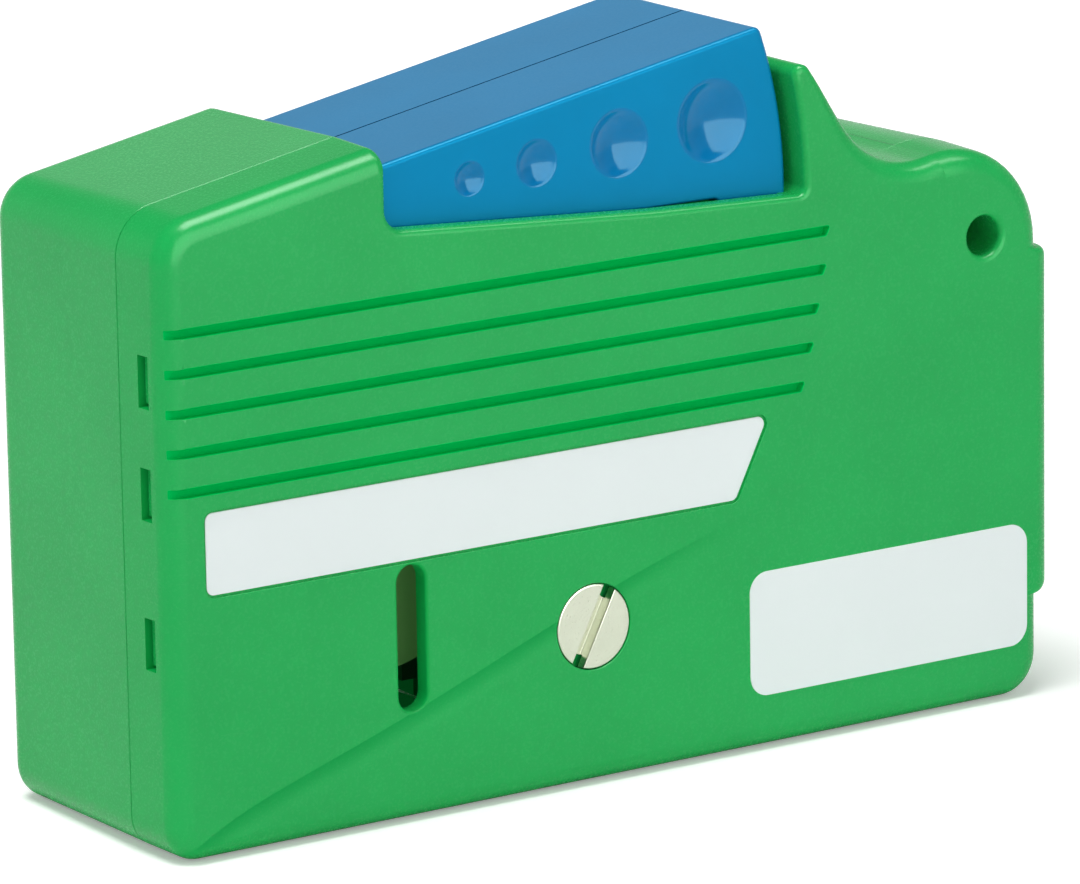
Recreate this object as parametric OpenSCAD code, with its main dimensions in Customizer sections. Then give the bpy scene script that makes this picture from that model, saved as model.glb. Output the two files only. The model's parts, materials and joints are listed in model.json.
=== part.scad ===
/* [Case] */
// Length of the case between its end walls
body_w = 118; // [115:0.5:122]
// Depth of the case, front face to rear face
body_d = 36.4; // [36:0.1:39]
// Depth of the front cover, up to the seam
cover_d = 8.9; // [8:0.1:8.9]
// Height at which the roof line meets the left wall
left_h = 70.2; // [69.6:0.1:72]
// Rise of the roof towards the lever, in degrees
roof_slope = 10.6; // [9.5:0.1:11.5]
// Wall of both shells
wall = 2; // [1.6:0.1:2.2]
// Rounding of the outer front edge
edge_r = 2.6; // [1.5:0.1:3]
// Rounding of the outer rear edge
rear_edge_r = 3; // [2:0.1:3.2]
// How much the walls draw in towards the rear
rear_draw = 0.7; // [0.4:0.1:0.8]
// Corner radius at the lower left
foot_r = 4; // [3.8:0.1:6]
// Corner radius at the lower right
toe_r = 5; // [3:0.1:5.5]
// Corner radius at the upper left
shoulder_r = 5.5; // [4:0.1:7]
// How far the raised pad stands out of the right wall
pad_out = 1.6; // [1:0.1:2.5]
// Height of the raised pad's lower edge
pad_low = 12; // [8:0.5:20]
// Height of the raised pad's upper edge
pad_high = 52.8; // [45:0.2:53]
// Corner radius of the raised pad
pad_r = 1.3; // [0.5:0.1:1.5]

/* [Hump and horn] */
// Radius of the hump at the upper right
hump_r = 11.7; // [10.5:0.1:12.5]
// Height of the hump's centre
hump_z = 53.6; // [53:0.1:55]
// Angle at which the hump turns into the valley, in degrees
hump_turn = 104; // [100:1:108]
// Radius of the valley between hump and horn
valley_r = 11.5; // [10.5:0.1:12.5]
// Angle at which the valley turns into the horn's flank, in degrees
valley_turn = 215.4; // [210:0.2:220]
// Height of the horn's tip
horn_h = 78.2; // [75:0.1:79]
// Rounding of the horn's front and rear edges
horn_edge_r = 1; // [0.6:0.1:1.2]

/* [Lever bay] */
// Left side of the opening for the lever
bay_x = 28.8; // [28.4:0.1:29.2]
// Height of the opening's sill at its left end
sill_left = 66.3; // [66:0.1:67]
// Height of the opening's sill in its middle
sill_mid = 63.9; // [63.6:0.1:64.2]
// Height of the opening's sill at its right end
sill_right = 63.1; // [62.6:0.1:63.2]
// Corner radius at the sill's left end
sill_r = 2.4; // [1.5:0.1:3]

/* [Lever] */
// Pivot of the lever, along the case
pivot_x = 30; // [29.8:0.1:30.5]
// Pivot of the lever, above the base
pivot_z = 63.8; // [63.4:0.1:64]
// Distance from the lever's end face to the right wall
lever_end = 34.55; // [34.2:0.05:35.4]
// Height of the lever's top above the pivot
lever_rise = 9.25; // [8.8:0.05:9.6]
// Slope of the lever's top at rest, in degrees
lever_slope = 10.5; // [9.5:0.1:11.5]
// Room between the lever and the rear face
lever_back = 6; // [6:0.1:6.6]
// Wall of the lever
lever_wall = 2.2; // [1.8:0.1:2.4]
// Rounding of the lever's edges
lever_edge_r = 0.9; // [0.5:0.1:1.2]
// Stroke of the lever, in degrees
lever_stroke = 14; // [10:0.5:14]
// Gap between the lever and the walls beside it
lever_gap = 0.4; // [0.3:0.05:0.6]
// Gap between the lever's end face and the bay's end wall
end_gap = 1.15; // [0.8:0.05:1.4]
// Radius of the lever's pin
pivot_pin_r = 1.5; // [1.2:0.1:1.8]

/* [Face details] */
// Width of a grip groove
groove_w = 1.05; // [1:0.05:1.6]
// Depth of a grip groove
groove_t = 0.9; // [0.4:0.05:1.1]
// Distance between grip grooves
groove_pitch = 4.35; // [3.8:0.05:4.6]
// Height of the uppermost groove
groove_top = 58.6; // [58:0.1:59.4]
// Right end of the uppermost groove
groove_end = 87.5; // [80:0.5:90]
// Length of the name plate's lower edge
plate_w = 69.5; // [60:0.5:72]
// Height of the name plate
plate_h = 9.1; // [8:0.1:9.6]
// Lower left corner of the name plate, along the case
plate_x = 5; // [4.5:0.1:8]
// Lower left corner of the name plate, above the base
plate_z = 29.5; // [29.4:0.1:30]
// How much longer the plate's upper edge is
plate_slant = 4.6; // [3:0.1:6]
// Depth of the name plate's recess
plate_recess = 0.3; // [0.25:0.05:0.4]
// Thickness of the name plate and of the sticker
label_t = 0.14; // [0.1:0.02:0.2]
// Width of the sticker
sticker_w = 39.2; // [30:0.2:40]
// Height of the sticker
sticker_h = 14.4; // [10:0.2:15]
// Corner radius of the sticker
sticker_r = 2.4; // [1:0.1:3]
// Height of the sticker's lower edge
sticker_z = 6.3; // [5.5:0.1:7]
// Width of the slot that shows the supply reel
view_w = 3.7; // [3:0.1:4.5]
// Lower end of the viewing slot
view_low = 12.4; // [11.5:0.1:14]
// Upper end of the viewing slot
view_high = 28.9; // [26:0.1:29]
// Radius of the lanyard hole
cord_hole_r = 2.3; // [2:0.1:2.8]
// Radius of the lanyard hole's mouth
cord_mouth_r = 3.05; // [2.9:0.05:3.6]
// Distance from the lanyard hole's centre to the right wall
cord_inset = 8.4; // [8:0.1:9]
// Height of the lanyard hole's centre above the hump's centre
cord_up = 1.4; // [1:0.1:2]

/* [Coin screw] */
// Place of the screw, along the case
screw_x = 55; // [54:0.1:56]
// Place of the screw, above the base
screw_z = 18.1; // [17.8:0.1:18.8]
// Radius of the screw's head
head_r = 4.84; // [4.4:0.02:5.2]
// Height of the screw's head
head_t = 1.8; // [1.5:0.1:2.2]
// Radius of the screw's thread
thread_r = 2.45; // [2:0.05:2.7]
// Length of the screw under its head
thread_l = 10.5; // [8:0.5:12]
// Width of the slot in the head
driver_w = 1.6; // [1:0.1:1.8]
// Direction of the slot in the head, in degrees
driver_turn = 62.5; // [0:0.5:180]

/* [Reels and tape] */
// Thickness of the cleaning tape
tape_t = 0.25; // [0.2:0.05:0.3]
// Radius of the reels' flanges
flange_r = 18; // [17.5:0.1:18]
// Thickness of the reels' flanges
flange_t = 1; // [0.8:0.1:1.1]
// Radius of the reels' hubs
hub_r = 7; // [6:0.1:8]
// Radius of the tape left on the supply reel
supply_pack_r = 16.5; // [10:0.5:17]
// Radius of the tape on the take-up reel
used_pack_r = 12; // [8.5:0.5:17]
// Supply reel, along the case
supply_x = 31; // [30:0.1:31]
// Supply reel, above the base
supply_z = 33; // [32.5:0.1:34]
// Radius of the reels' axles
axle_r = 2; // [1.6:0.1:2.2]
// Radius of the guide rollers
roller_r = 3.5; // [3:0.1:3.5]
// Left guide roller, along the case
left_roller_x = 50; // [49:0.1:51]
// Distance from the right guide roller to the right wall
roller_inset = 17.6; // [16.5:0.1:18.5]

/* [Drive] */
// Tooth size (module) of all gears
gear_m = 1; // [1:0.01:1.02]
// How far the sector's pitch line stands out past the lever's end face
sector_proud = 1.55; // [1.4:0.05:1.6]
// Teeth of the pinion on the take-up axle
pinion_teeth = 16; // [16:1:17]
// Teeth of the wheel that moves the shutter
wheel_teeth = 26; // [25:1:26]
// Direction from the lever's pivot to the take-up axle, in degrees
axle_turn = -31.2; // [-32:0.1:-31]
// Thickness of the sector
sector_t = 2.8; // [2.4:0.1:2.8]

/* [Window and shutter] */
// Left end of the cleaning window
window_x = 58; // [57:0.1:59]
// Length of the cleaning window
window_w = 20; // [18:0.5:20]
// Width of each wiping slot
wipe_w = 4.2; // [4.1:0.1:4.4]
// Bar between the two wiping slots
wipe_bar = 1.2; // [1:0.1:1.6]
// Thickness of the shutter's plate
shutter_t = 0.8; // [0.7:0.1:0.9]

/* [Hidden] */

// Shared fits: a running pin, a close face to face gap, and the overrun of every cut
pin_fit = 0.05;
slide_fit = 0.15;
face_gap = 0.1;
over = 0.5;
overall_w = body_w + pad_out;
overall_d = body_d + label_t;
fine = 96;

// Heights and depths along the stack, front to rear
lever_y = wall + lever_gap;
lever_back_y = body_d - lever_back;
lever_w = lever_back_y - lever_y;
lever_r = body_w - pivot_x - lever_end;
lever_nose_r = 2.6 * pivot_pin_r + over;
lever_lift = 1;
lever_low = 0.3;
leg_w = 9;
leg_l = 6.8;
leg_corner_r = 1;
rear_inner_y = body_d - wall;
sector_y = lever_back_y - lever_wall - sector_t;
carrier_t = 0.55;
carrier_gap = 0.65;
carrier_y = sector_y - carrier_gap - carrier_t;
ratchet_t = 1.5;
ratchet_y = carrier_y - 3 * face_gap - ratchet_t;
flange_gap = 2 * face_gap;
rear_flange_y = ratchet_y - flange_t;
tape_back_y = rear_flange_y - flange_gap;
tape_y = cover_d + 3 * face_gap;
tape_w = tape_back_y - tape_y;
front_flange_y = tape_y - flange_gap - flange_t;
wheel_y = lever_back_y + lever_gap;
wheel_t = 1.8;
axle_seat = wall / 2;

// Roof, hump, valley and horn
roof_rise = tan(roof_slope);
hump_c = [body_w - hump_r, hump_z];
valley_c = hump_c + (hump_r + valley_r) * [cos(hump_turn), sin(hump_turn)];
flank_start = valley_c + valley_r * [cos(valley_turn), sin(valley_turn)];
flank_rise = -cos(valley_turn) / sin(valley_turn);
horn_slope = 0.25;
pivot = [pivot_x, pivot_z];
bay_r = lever_r + end_gap;
horn_inner_x = pivot_x + sqrt(bay_r * bay_r - (horn_h - pivot_z) * (horn_h - pivot_z));
horn_outer_x = flank_start[0] + (horn_h - flank_start[1]) / flank_rise;
sky = 2 * left_h;

// Gears: radii and the place of the take-up axle
sector_teeth = round(2 * (lever_r + sector_proud) / gear_m);
pinion_r = gear_m * pinion_teeth / 2;
sector_r = gear_m * sector_teeth / 2;
wheel_r = gear_m * wheel_teeth / 2;
axle_c = pivot + (pinion_r + sector_r) * [cos(axle_turn), sin(axle_turn)];
addendum = 0.8 * gear_m;
dedendum = 1.15 * gear_m;
backlash = 0.2 * gear_m;
pressure = 20;
tooth_steps = 4;
rack_pitch = PI * gear_m;
rack_z = axle_c[1] - wheel_r;
gear_turn = lever_stroke * sector_teeth / pinion_teeth;
shutter_travel = gear_turn * PI / 180 * wheel_r;
mesh_half = 4.2 * gear_m;
sector_spare = 5;
sector_end = axle_turn - sector_spare;
sector_start = axle_turn + lever_stroke + sector_spare;
sector_web = 4.4;
sector_hold = 12;
carrier_reach = 4.5;
carrier_r = pinion_r + carrier_reach;
hub_wall = 3;

// Floor of the tape run, from the base upwards
runway_t = 0.6;
shutter_z = wall + runway_t + slide_fit;
slot_plate_z = shutter_z + shutter_t + slide_fit;
slot_plate_t = 0.9;
tape_low_z = slot_plate_z + slot_plate_t + slide_fit;
roller_z = tape_low_z + tape_t + face_gap + roller_r;
pad_z = tape_low_z + tape_t + face_gap;
pad_t = 2;
holder_t = 2.4;
roller_side = 0.25;
right_roller_x = body_w - roller_inset;

// Window in the base
window_y = tape_y + tape_w / 10;
window_d = 2 * wipe_w + wipe_bar + 2 * over;
plate_front_y = cover_d + face_gap;
shutter_lap = wall / 2;

// Round posts, seats and small parts
post_r = 4.8;
boss_r = 4.5;
small_post_r = 3;
post_gap = 0.3;
cover_boss_r = 6.5;
boss_under_head = 3;
cover_boss_y = head_t + boss_under_head;
washer_t = 0.5;
head_rim_t = 2 / 3 * head_t;
head_neck_r = 0.72 * head_r;
slot_depth = 5 / 6 * head_t;
insert_r = 3.3;
insert_l = 8;
insert_y = cover_boss_y + washer_t + post_gap;
head_clear = 0.1;
cord_c = [body_w - cord_inset, hump_z + cord_up];
cord_tube_r = cord_hole_r + wall;
pawl_pin_r = 1.2;
roller_pin_r = 1.25;
roller_neck = 0.8;
pin_collar = 0.7;
knurl_t = 0.3;
frame_t = 1.5;
frame_rim = 2;
frame_y = ratchet_y + ratchet_t / 2;
frame_low_z = slot_plate_z + slot_plate_t;
frame_top_z = roller_z + roller_r + frame_rim;
left_post_out = 2.5;
left_post_up = 4.5;
right_post_out = 3.4;
rack_clear = 1.2;
left_frame_post = [left_roller_x - left_post_out, roller_z + left_post_up];
right_frame_post = [right_roller_x + right_post_out, rack_z + addendum + small_post_r + rack_clear];
frame_screw_r = 1.1;
frame_screw_head_r = 2;
frame_screw_head_t = 1.1;
frame_screw_l = 6;

// Snap windows in the cover's left wall and the tongues behind them
snap_w = 5.8;
snap_d = 2;
snap_y = 3.1;
snap_shares = [0.755, 0.579, 0.343];
tongue_w = 5;
tongue_t = 1.3;
hook_t = 1.2;

// Return spring
spring_x = (supply_x + axle_c[0]) / 2;
spring_y = lever_y + lever_w / 4;
spring_r = 3.4;
wire_r = 0.4;
spring_turns = 9;
spring_seat_up = 2.6;
spring_top_drop = 1.8;
spring_seat_z = screw_z + post_r + spring_seat_up;
spring_top_z = pivot_z - spring_top_drop;
spring_seat_r = 4.7;
spigot_r = spring_r - wire_r - 3 * face_gap;
spigot_l = 3;
ring_steps = 12;
wire_sides = 6;

// Reel ratchet, drive pawl and stop pawl
ratchet_teeth = 12;
ratchet_r = 7.4;
ratchet_root_r = 6.2;
ramp_share = 0.85;
ratchet_turn = 240;
rim_teeth = 60;
rim_tooth = 0.7;
rim_root_r = flange_r - rim_tooth;
pawl_out = 3;
pawl_lead = 35;
pawl_wall = 0.8;
pawl_nose = 0.5;
stop_turn = 35;
stop_reach = 8.5;
stop_out = 3;
stop_gap = 0.25;
stop_slim = 0.6;
stop_nose = 0.3;
stop_c = axle_c + (flange_r + stop_gap + stop_out) * [cos(stop_turn), sin(stop_turn)]
    + stop_reach * [sin(stop_turn), -cos(stop_turn)];
stop_tip = axle_c + (flange_r + stop_gap) * [cos(stop_turn), sin(stop_turn)];
stop_t = 1.2;
stop_y = rear_flange_y;
stop_body_r = 2.4;

// Points of an arc from angle a0 to a1
function arc(c, r, a0, a1, n = 10) =
    [for (i = [0:n]) let (a = a0 + (a1 - a0) * i / n) c + r * [cos(a), sin(a)]];
function roof_z(x) = left_h + x * roof_rise;
function lever_top_z(x) = pivot_z + lever_rise + (x - pivot_x) * tan(lever_slope);
function involute(a) = tan(a) - a * PI / 180;
// Half the angle that a tooth covers at radius r
function tooth_half(teeth, r) =
    let (pitch_r = gear_m * teeth / 2, base_r = pitch_r * cos(pressure), at = max(r, base_r))
    90 / teeth - backlash / pitch_r / 4 * 180 / PI
    + (involute(pressure) - involute(acos(min(1, base_r / at)))) * 180 / PI;
// Outline of the teeth numbered from first to last, the first centred on angle turn
function teeth_points(teeth, turn, first, last) =
    let (low = gear_m * teeth / 2 - dedendum, high = gear_m * teeth / 2 + addendum)
    [for (i = [first:last]) for (side = [-1, 1]) for (k = [0:tooth_steps])
        let (
            j = side < 0 ? k : tooth_steps - k,
            r = low + (high - low) * j / tooth_steps,
            a = turn + 360 * i / teeth + side * tooth_half(teeth, r)
        )
        r * [cos(a), sin(a)]];
function saw_points(teeth, tip_r, root_r, lean) =
    [for (i = [0:teeth - 1]) for (k = [0, 1])
        let (a = 360 * (i + k * lean) / teeth, r = k == 0 ? tip_r : root_r)
        r * [cos(a), sin(a)]];

// Frame of the whole part: origin at the middle of the base
module place() {
    translate([-overall_w / 2, label_t - overall_d / 2, 0]) children();
}

// A drawing in the plane of the face, carried from depth y0 to depth y1
module slab(y0, y1) {
    translate([0, y1, 0]) rotate([90, 0, 0]) linear_extrude(y1 - y0) children();
}

// A round bar or bore along the depth
module bar(c, r, y0, y1) {
    translate([c[0], y1, c[1]]) rotate([90, 0, 0]) cylinder(r = r, h = y1 - y0, $fn = fine);
}

module tube(c, r, bore_r, y0, y1) {
    difference() {
        bar(c, r, y0, y1);
        bar(c, bore_r, y0 - over, y1 + over);
    }
}

// Where the line through p along a meets the line through q along b
function cross2(a, b) = a[0] * b[1] - a[1] * b[0];
function meet(p, a, q, b) = p + a * cross2(q - p, b) / cross2(a, b);
function way(p, q) = [q[0] - p[0], q[1] - p[1]] / norm([q[0] - p[0], q[1] - p[1]]);

// One rounded corner of an outline; a corner is [x, z, radius, steps], and a sharp one has no steps
function round_corner(before, at, after) =
    let (
        e0 = way(before, at),
        e1 = way(at, after),
        out = cross2(e0, e1) > 0 ? 1 : -1,
        side = [-e0[1], e0[0]] * out,
        turn = acos(e0 * e1),
        c = [at[0], at[1]] + (side - e0 * tan(turn / 2)) * at[2],
        a0 = atan2(-side[1], -side[0])
    )
    at[3] == 0 ? [[at[0], at[1]]] : arc(c, at[2], a0, a0 + out * turn, at[3]);
function ring(corners) =
    let (n = len(corners))
    [for (i = [0:n - 1]) for (p = round_corner(
        corners[(i + n - 1) % n], corners[i], corners[(i + 1) % n])) p];
// Corners of the case with its horn, the lever bay filled in
function case_corners() =
    let (
        t0 = [-sin(hump_turn), cos(hump_turn)],
        hump_top = hump_c + hump_r * [cos(hump_turn), sin(hump_turn)],
        hump_corner = meet(hump_top, t0, [body_w, hump_z], [0, 1]),
        flank = [cos(valley_turn + 90), sin(valley_turn + 90)],
        valley_corner = meet(hump_top, t0, flank_start, flank),
        tip_z = horn_h - horn_slope * (horn_outer_x - horn_inner_x),
        fill_x = bay_x + 2 * edge_r
    )
    [
        [0, 0, foot_r, 6],
        [body_w, 0, toe_r, 6],
        [body_w, pad_low, 0, 0],
        [body_w + pad_out, pad_low, pad_r, 3],
        [body_w + pad_out, pad_high, pad_r, 3],
        [body_w, pad_high, 0, 0],
        [hump_corner[0], hump_corner[1], hump_r, 14],
        [valley_corner[0], valley_corner[1], valley_r, 12],
        [horn_outer_x, tip_z, horn_edge_r, 3],
        [horn_inner_x - end_gap, horn_h, 0, 0],
        [fill_x, roof_z(fill_x), 0, 0],
        [0, left_h, shoulder_r, 6]
    ];

// Opening for the lever, from its sill upwards
module bay_cut() {
    mid_x = (bay_x + pivot_x + bay_r) / 2 + bay_x / 4;
    intersection() {
        translate(pivot) circle(r = bay_r, $fn = 4 * fine);
        polygon(concat(
            [[bay_x, sky]],
            arc([bay_x + sill_r, sill_left + sill_r], sill_r, 180, 265, 6),
            [[mid_x, sill_mid], [pivot_x + bay_r, sill_right], [body_w, sill_right], [body_w, sky]]
        ));
    }
}

module whole_outline() {
    difference() {
        polygon(ring(case_corners()));
        bay_cut();
    }
}

// Room inside the walls, without slivers too thin to mould
module room_outline() {
    offset(delta = wall / 2) offset(delta = -wall - wall / 2) whole_outline();
}

// Way for the lever through the sill, and round its pivot
module throat_outline() {
    translate([0, -wall - over]) bay_cut();
    translate(pivot) circle(r = lever_nose_r + 2 * lever_gap, $fn = fine);
}

// Long bar along the case whose cross section is a rounded outline of depth and height
module long_bar(corners) {
    rotate([90, 0, 90]) translate([0, 0, -body_w]) linear_extrude(3 * body_w)
        polygon(ring(corners));
}

// Outer form that both shells are cut from: rounded edges, walls drawn in towards the rear
module envelope() {
    far_x = body_w + pad_out;
    intersection() {
        // base
        long_bar([
            [0, 0, edge_r, 5], [body_d, 0, rear_edge_r, 5], [body_d, sky, 0, 0], [0, sky, 0, 0]
        ]);
        // end walls
        translate([0, 0, -left_h]) linear_extrude(3 * left_h) polygon(ring([
            [0, 0, edge_r, 5], [far_x, 0, edge_r, 5], [far_x, cover_d, 0, 0],
            [far_x - rear_draw, body_d, rear_edge_r, 5], [rear_draw, body_d, rear_edge_r, 5],
            [0, cover_d, 0, 0]
        ]));
        // roof
        translate([0, 0, left_h]) rotate([0, -roof_slope, 0]) long_bar([
            [0, 0, edge_r, 5], [0, -sky, 0, 0], [body_d, -sky, 0, 0],
            [body_d, -rear_draw, rear_edge_r, 5], [cover_d, 0, 0, 0]
        ]);
    }
}

module case_block(y0, y1) {
    intersection() {
        slab(y0, y1) whole_outline();
        envelope();
    }
}

module snap_place() {
    for (s = snap_shares) translate([0, 0, left_h * s]) children();
}

module front_cover() {
    color("mediumseagreen") place() difference() {
        union() {
            difference() {
                case_block(0, cover_d - face_gap);
                slab(wall, cover_d + over) room_outline();
                slab(wall, cover_d + over) throat_outline();
            }
            bar([screw_x, screw_z], cover_boss_r, over, cover_boss_y);
            bar(cord_c, cord_tube_r, over, cover_d - face_gap);
            bar([supply_x, supply_z], boss_r, over, front_flange_y - post_gap);
            bar(axle_c, boss_r, over, front_flange_y - post_gap);
        }
        // lever pin and reel axles end in the cover
        bar(pivot, pivot_pin_r + pin_fit, axle_seat, wall + over);
        bar([supply_x, supply_z], axle_r + pin_fit, wall, cover_d);
        bar(axle_c, axle_r + pin_fit, wall, cover_d);
        // coin screw, sunk flush
        bar([screw_x, screw_z], head_r + head_clear, -over, head_t);
        bar([screw_x, screw_z], thread_r + 3 * pin_fit, 0, cover_boss_y + over);
        // lanyard hole with its dished mouth
        bar(cord_c, cord_hole_r, -over, cover_d + over);
        translate([cord_c[0], 0, cord_c[1]]) rotate([-90, 0, 0]) translate([0, 0, -over])
            cylinder(
                r1 = cord_mouth_r + over, r2 = cord_hole_r,
                h = cord_mouth_r - cord_hole_r + over, $fn = fine
            );
        // viewing slot
        slab(-over, wall + over) union() {
            translate([supply_x - view_w / 2, view_low + view_w / 2])
                square([view_w, view_high - view_low - view_w]);
            for (z = [view_low + view_w / 2, view_high - view_w / 2])
                translate([supply_x, z]) circle(r = view_w / 2, $fn = fine);
        }
        grip_grooves();
        slab(-over, plate_recess) offset(delta = plate_recess) plate_outline();
        snap_place() translate([-over, snap_y, -snap_w / 2]) cube([wall + 2 * over, snap_d, snap_w]);
    }
}

// Five grooves across the face, each shorter than the one above it
module grip_grooves() {
    step_back_shares = [0, 0.12, 0.34, 0.54, 0.84];
    for (i = [0:4]) {
        end_x = groove_end - groove_pitch * step_back_shares[i];
        slab(-over, groove_t) polygon([
            [-over, groove_top - i * groove_pitch - groove_w / 2],
            [end_x - groove_w / 4, groove_top - i * groove_pitch - groove_w / 2],
            [end_x + groove_w / 4, groove_top - i * groove_pitch + groove_w / 2],
            [-over, groove_top - i * groove_pitch + groove_w / 2]
        ]);
    }
}

module plate_outline() {
    polygon([
        [plate_x, plate_z],
        [plate_x + plate_w, plate_z],
        [plate_x + plate_w + plate_slant, plate_z + plate_h],
        [plate_x, plate_z + plate_h]
    ]);
}

module rear_shell() {
    color("seagreen") place() difference() {
        union() {
            difference() {
                case_block(cover_d, body_d);
                slab(cover_d - over, rear_inner_y) room_outline();
                slab(cover_d - over, lever_back_y + lever_gap) throat_outline();
            }
            // posts that stand on the rear wall
            bar([screw_x, screw_z], post_r, insert_y, insert_y + insert_l + 3 * over);
            bar([screw_x, screw_z], small_post_r, insert_y, rear_inner_y + over);
            bar([supply_x, supply_z], boss_r, ratchet_y + washer_t, rear_inner_y + over);
            bar(axle_c, boss_r, wheel_y + wheel_t + post_gap, rear_inner_y + over);
            bar(pivot, lever_nose_r, lever_back_y + post_gap, rear_inner_y + over);
            bar(left_frame_post, small_post_r, frame_y + frame_t, rear_inner_y + over);
            bar(right_frame_post, small_post_r, frame_y + frame_t, rear_inner_y + over);
            bar(stop_c, stop_body_r, stop_y + stop_t + post_gap, rear_inner_y + over);
            bar(cord_c, cord_tube_r, cover_d, rear_inner_y + over);
            // seat of the return spring
            translate([spring_x - spring_seat_r, insert_y, screw_z])
                cube([2 * spring_seat_r, spring_y + spring_seat_r - insert_y, spring_seat_z - screw_z]);
            translate([spring_x, spring_y, spring_seat_z])
                cylinder(r = spigot_r, h = spigot_l, $fn = fine);
            // raised strip that the shutter slides on
            translate([window_x - 2 * wall, cover_d, wall - face_gap])
                cube([2 * window_w + 6 * wall, window_y + window_d + wall - cover_d, runway_t + face_gap]);
            // rail beside the shutter, under the slot plate's edge
            translate([window_x - 2 * wall, cover_d, wall - face_gap])
                cube([window_w + 4 * wall, window_y - cover_d - 2 * slide_fit,
                    slot_plate_z - wall + face_gap]);
            snap_place() snap_tongue();
        }
        bar([screw_x, screw_z], insert_r, cover_boss_y, insert_y + insert_l);
        bar([screw_x, screw_z], thread_r + 3 * pin_fit, cover_boss_y, insert_y + insert_l + over);
        for (c = [[supply_x, supply_z], axle_c]) bar(c, axle_r, ratchet_y, body_d - axle_seat);
        bar(pivot, pivot_pin_r, lever_back_y, body_d - axle_seat);
        bar(stop_c, pawl_pin_r, stop_y, body_d - axle_seat);
        for (c = [left_frame_post, right_frame_post])
            bar(c, frame_screw_r, frame_y + frame_t - over, frame_y + frame_t + frame_screw_l);
        bar(cord_c, cord_hole_r, cover_d - over, body_d + over);
        translate([cord_c[0], body_d + over, cord_c[1]]) rotate([90, 0, 0])
            cylinder(
                r1 = cord_mouth_r + over, r2 = cord_hole_r,
                h = cord_mouth_r - cord_hole_r + over, $fn = fine
            );
        // cleaning window in the base
        translate([window_x, window_y, -over]) cube([window_w, window_d, wall + runway_t + 2 * over]);
    }
}

// Springy tongue that reaches into the cover, with a hook for the snap window
module snap_tongue() {
    translate([wall + slide_fit, snap_y, -tongue_w / 2])
        cube([tongue_t, cover_d - snap_y + wall, tongue_w]);
    translate([wall + slide_fit - hook_t, snap_y + slide_fit, -tongue_w / 2])
        cube([hook_t + over, snap_d - 2 * slide_fit, tongue_w]);
    translate([wall + slide_fit - over, cover_d, -tongue_w / 2]) cube([tongue_t + over, wall, tongue_w]);
}

// Corners of the lever's side view at rest, its end face an arc about the pivot
function lever_corners() =
    let (
        left_x = bay_x + lever_gap,
        end_x = pivot_x + lever_r,
        leg_x = end_x - leg_w,
        top_a = lever_slope + asin(lever_rise * cos(lever_slope) / lever_r),
        low_a = -asin(leg_l / lever_r),
        edge = [for (i = [0:8]) pivot + polar(lever_r, low_a + (top_a - low_a) * i / 8)]
    )
    concat(
        [
            [left_x, pivot_z, 0, 0],
            [left_x + lever_nose_r, pivot_z, 0, 0],
            [leg_x, sill_mid - lever_low, leg_corner_r, 3],
            [leg_x + over, pivot_z - leg_l, 0, 0]
        ],
        [for (p = edge) [p[0], p[1], 0, 0]],
        [[left_x, lever_top_z(left_x), lever_edge_r, 3]]
    );

// Hollow of the lever: open below, closed by the top, the end wall and the side walls
module lever_hollow() {
    left_x = bay_x + lever_gap + lever_wall;
    intersection() {
        polygon([
            [left_x, pivot_z - lever_r],
            [left_x, lever_top_z(left_x) - lever_wall],
            [pivot_x + bay_r, lever_top_z(pivot_x + bay_r) - lever_wall],
            [pivot_x + bay_r, pivot_z - lever_r]
        ]);
        // the end wall stops above the reels, the side walls go on as legs
        union() {
            translate(pivot) circle(r = lever_r - lever_wall, $fn = 4 * fine);
            translate([pivot_x, pivot_z - lever_r]) square([bay_r, lever_r - lever_lift]);
        }
    }
}

// Thumb dishes, growing to the right: radius and place as shares of the lever
module thumb_dishes() {
    dish_r_shares = [0.035, 0.048, 0.069, 0.084];
    dish_x_shares = [0.208, 0.373, 0.578, 0.813];
    dish_deep_share = 0.34;
    for (i = [0:3]) {
        r = lever_r * dish_r_shares[i];
        t = min(r * dish_deep_share, lever_wall - 3 * lever_gap / 2);
        ball_r = (r * r + t * t) / (2 * t);
        x = pivot_x + lever_r * dish_x_shares[i];
        z = (sill_mid + lever_top_z(x)) / 2 + lever_gap * (3 - i) / 2;
        translate([x, t - ball_r, z]) rotate([90, 0, 0]) sphere(r = ball_r, $fn = fine);
    }
}

// One half of the lever, its outer face at depth 0
module lever_half() {
    half_w = lever_w / 2;
    difference() {
        union() {
            difference() {
                intersection() {
                    slab(0, half_w) polygon(ring(lever_corners()));
                    translate([pivot_x, 0, pivot_z + lever_rise]) rotate([0, -lever_slope, 0])
                        long_bar([
                            [0, 0, lever_edge_r, 4], [0, -body_w, 0, 0],
                            [lever_w, -body_w, 0, 0], [lever_w, 0, 0, 0]
                        ]);
                }
                slab(lever_wall, half_w + over) lever_hollow();
            }
            bar(pivot, lever_nose_r, 0, half_w / 3);
        }
        bar(pivot, pivot_pin_r + pin_fit, -over, half_w + over);
        thumb_dishes();
    }
}

module lever_front_half() {
    color("steelblue") place() {
        translate([0, lever_y, 0]) lever_half();
        // seat of the return spring, hung from the lever's top
        difference() {
            union() {
                translate([spring_x, spring_y, spring_top_z + face_gap])
                    cylinder(
                        r = spring_seat_r, $fn = fine,
                        h = lever_top_z(spring_x) - lever_wall - spring_top_z
                    );
                translate([spring_x, spring_y, spring_top_z - spigot_l])
                    cylinder(r = spigot_r, h = spigot_l + over, $fn = fine);
            }
            translate([spring_x - lever_r, 0, lever_top_z(spring_x) - lever_wall / 2])
                cube([2 * lever_r, lever_w, lever_r]);
        }
    }
}

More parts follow.
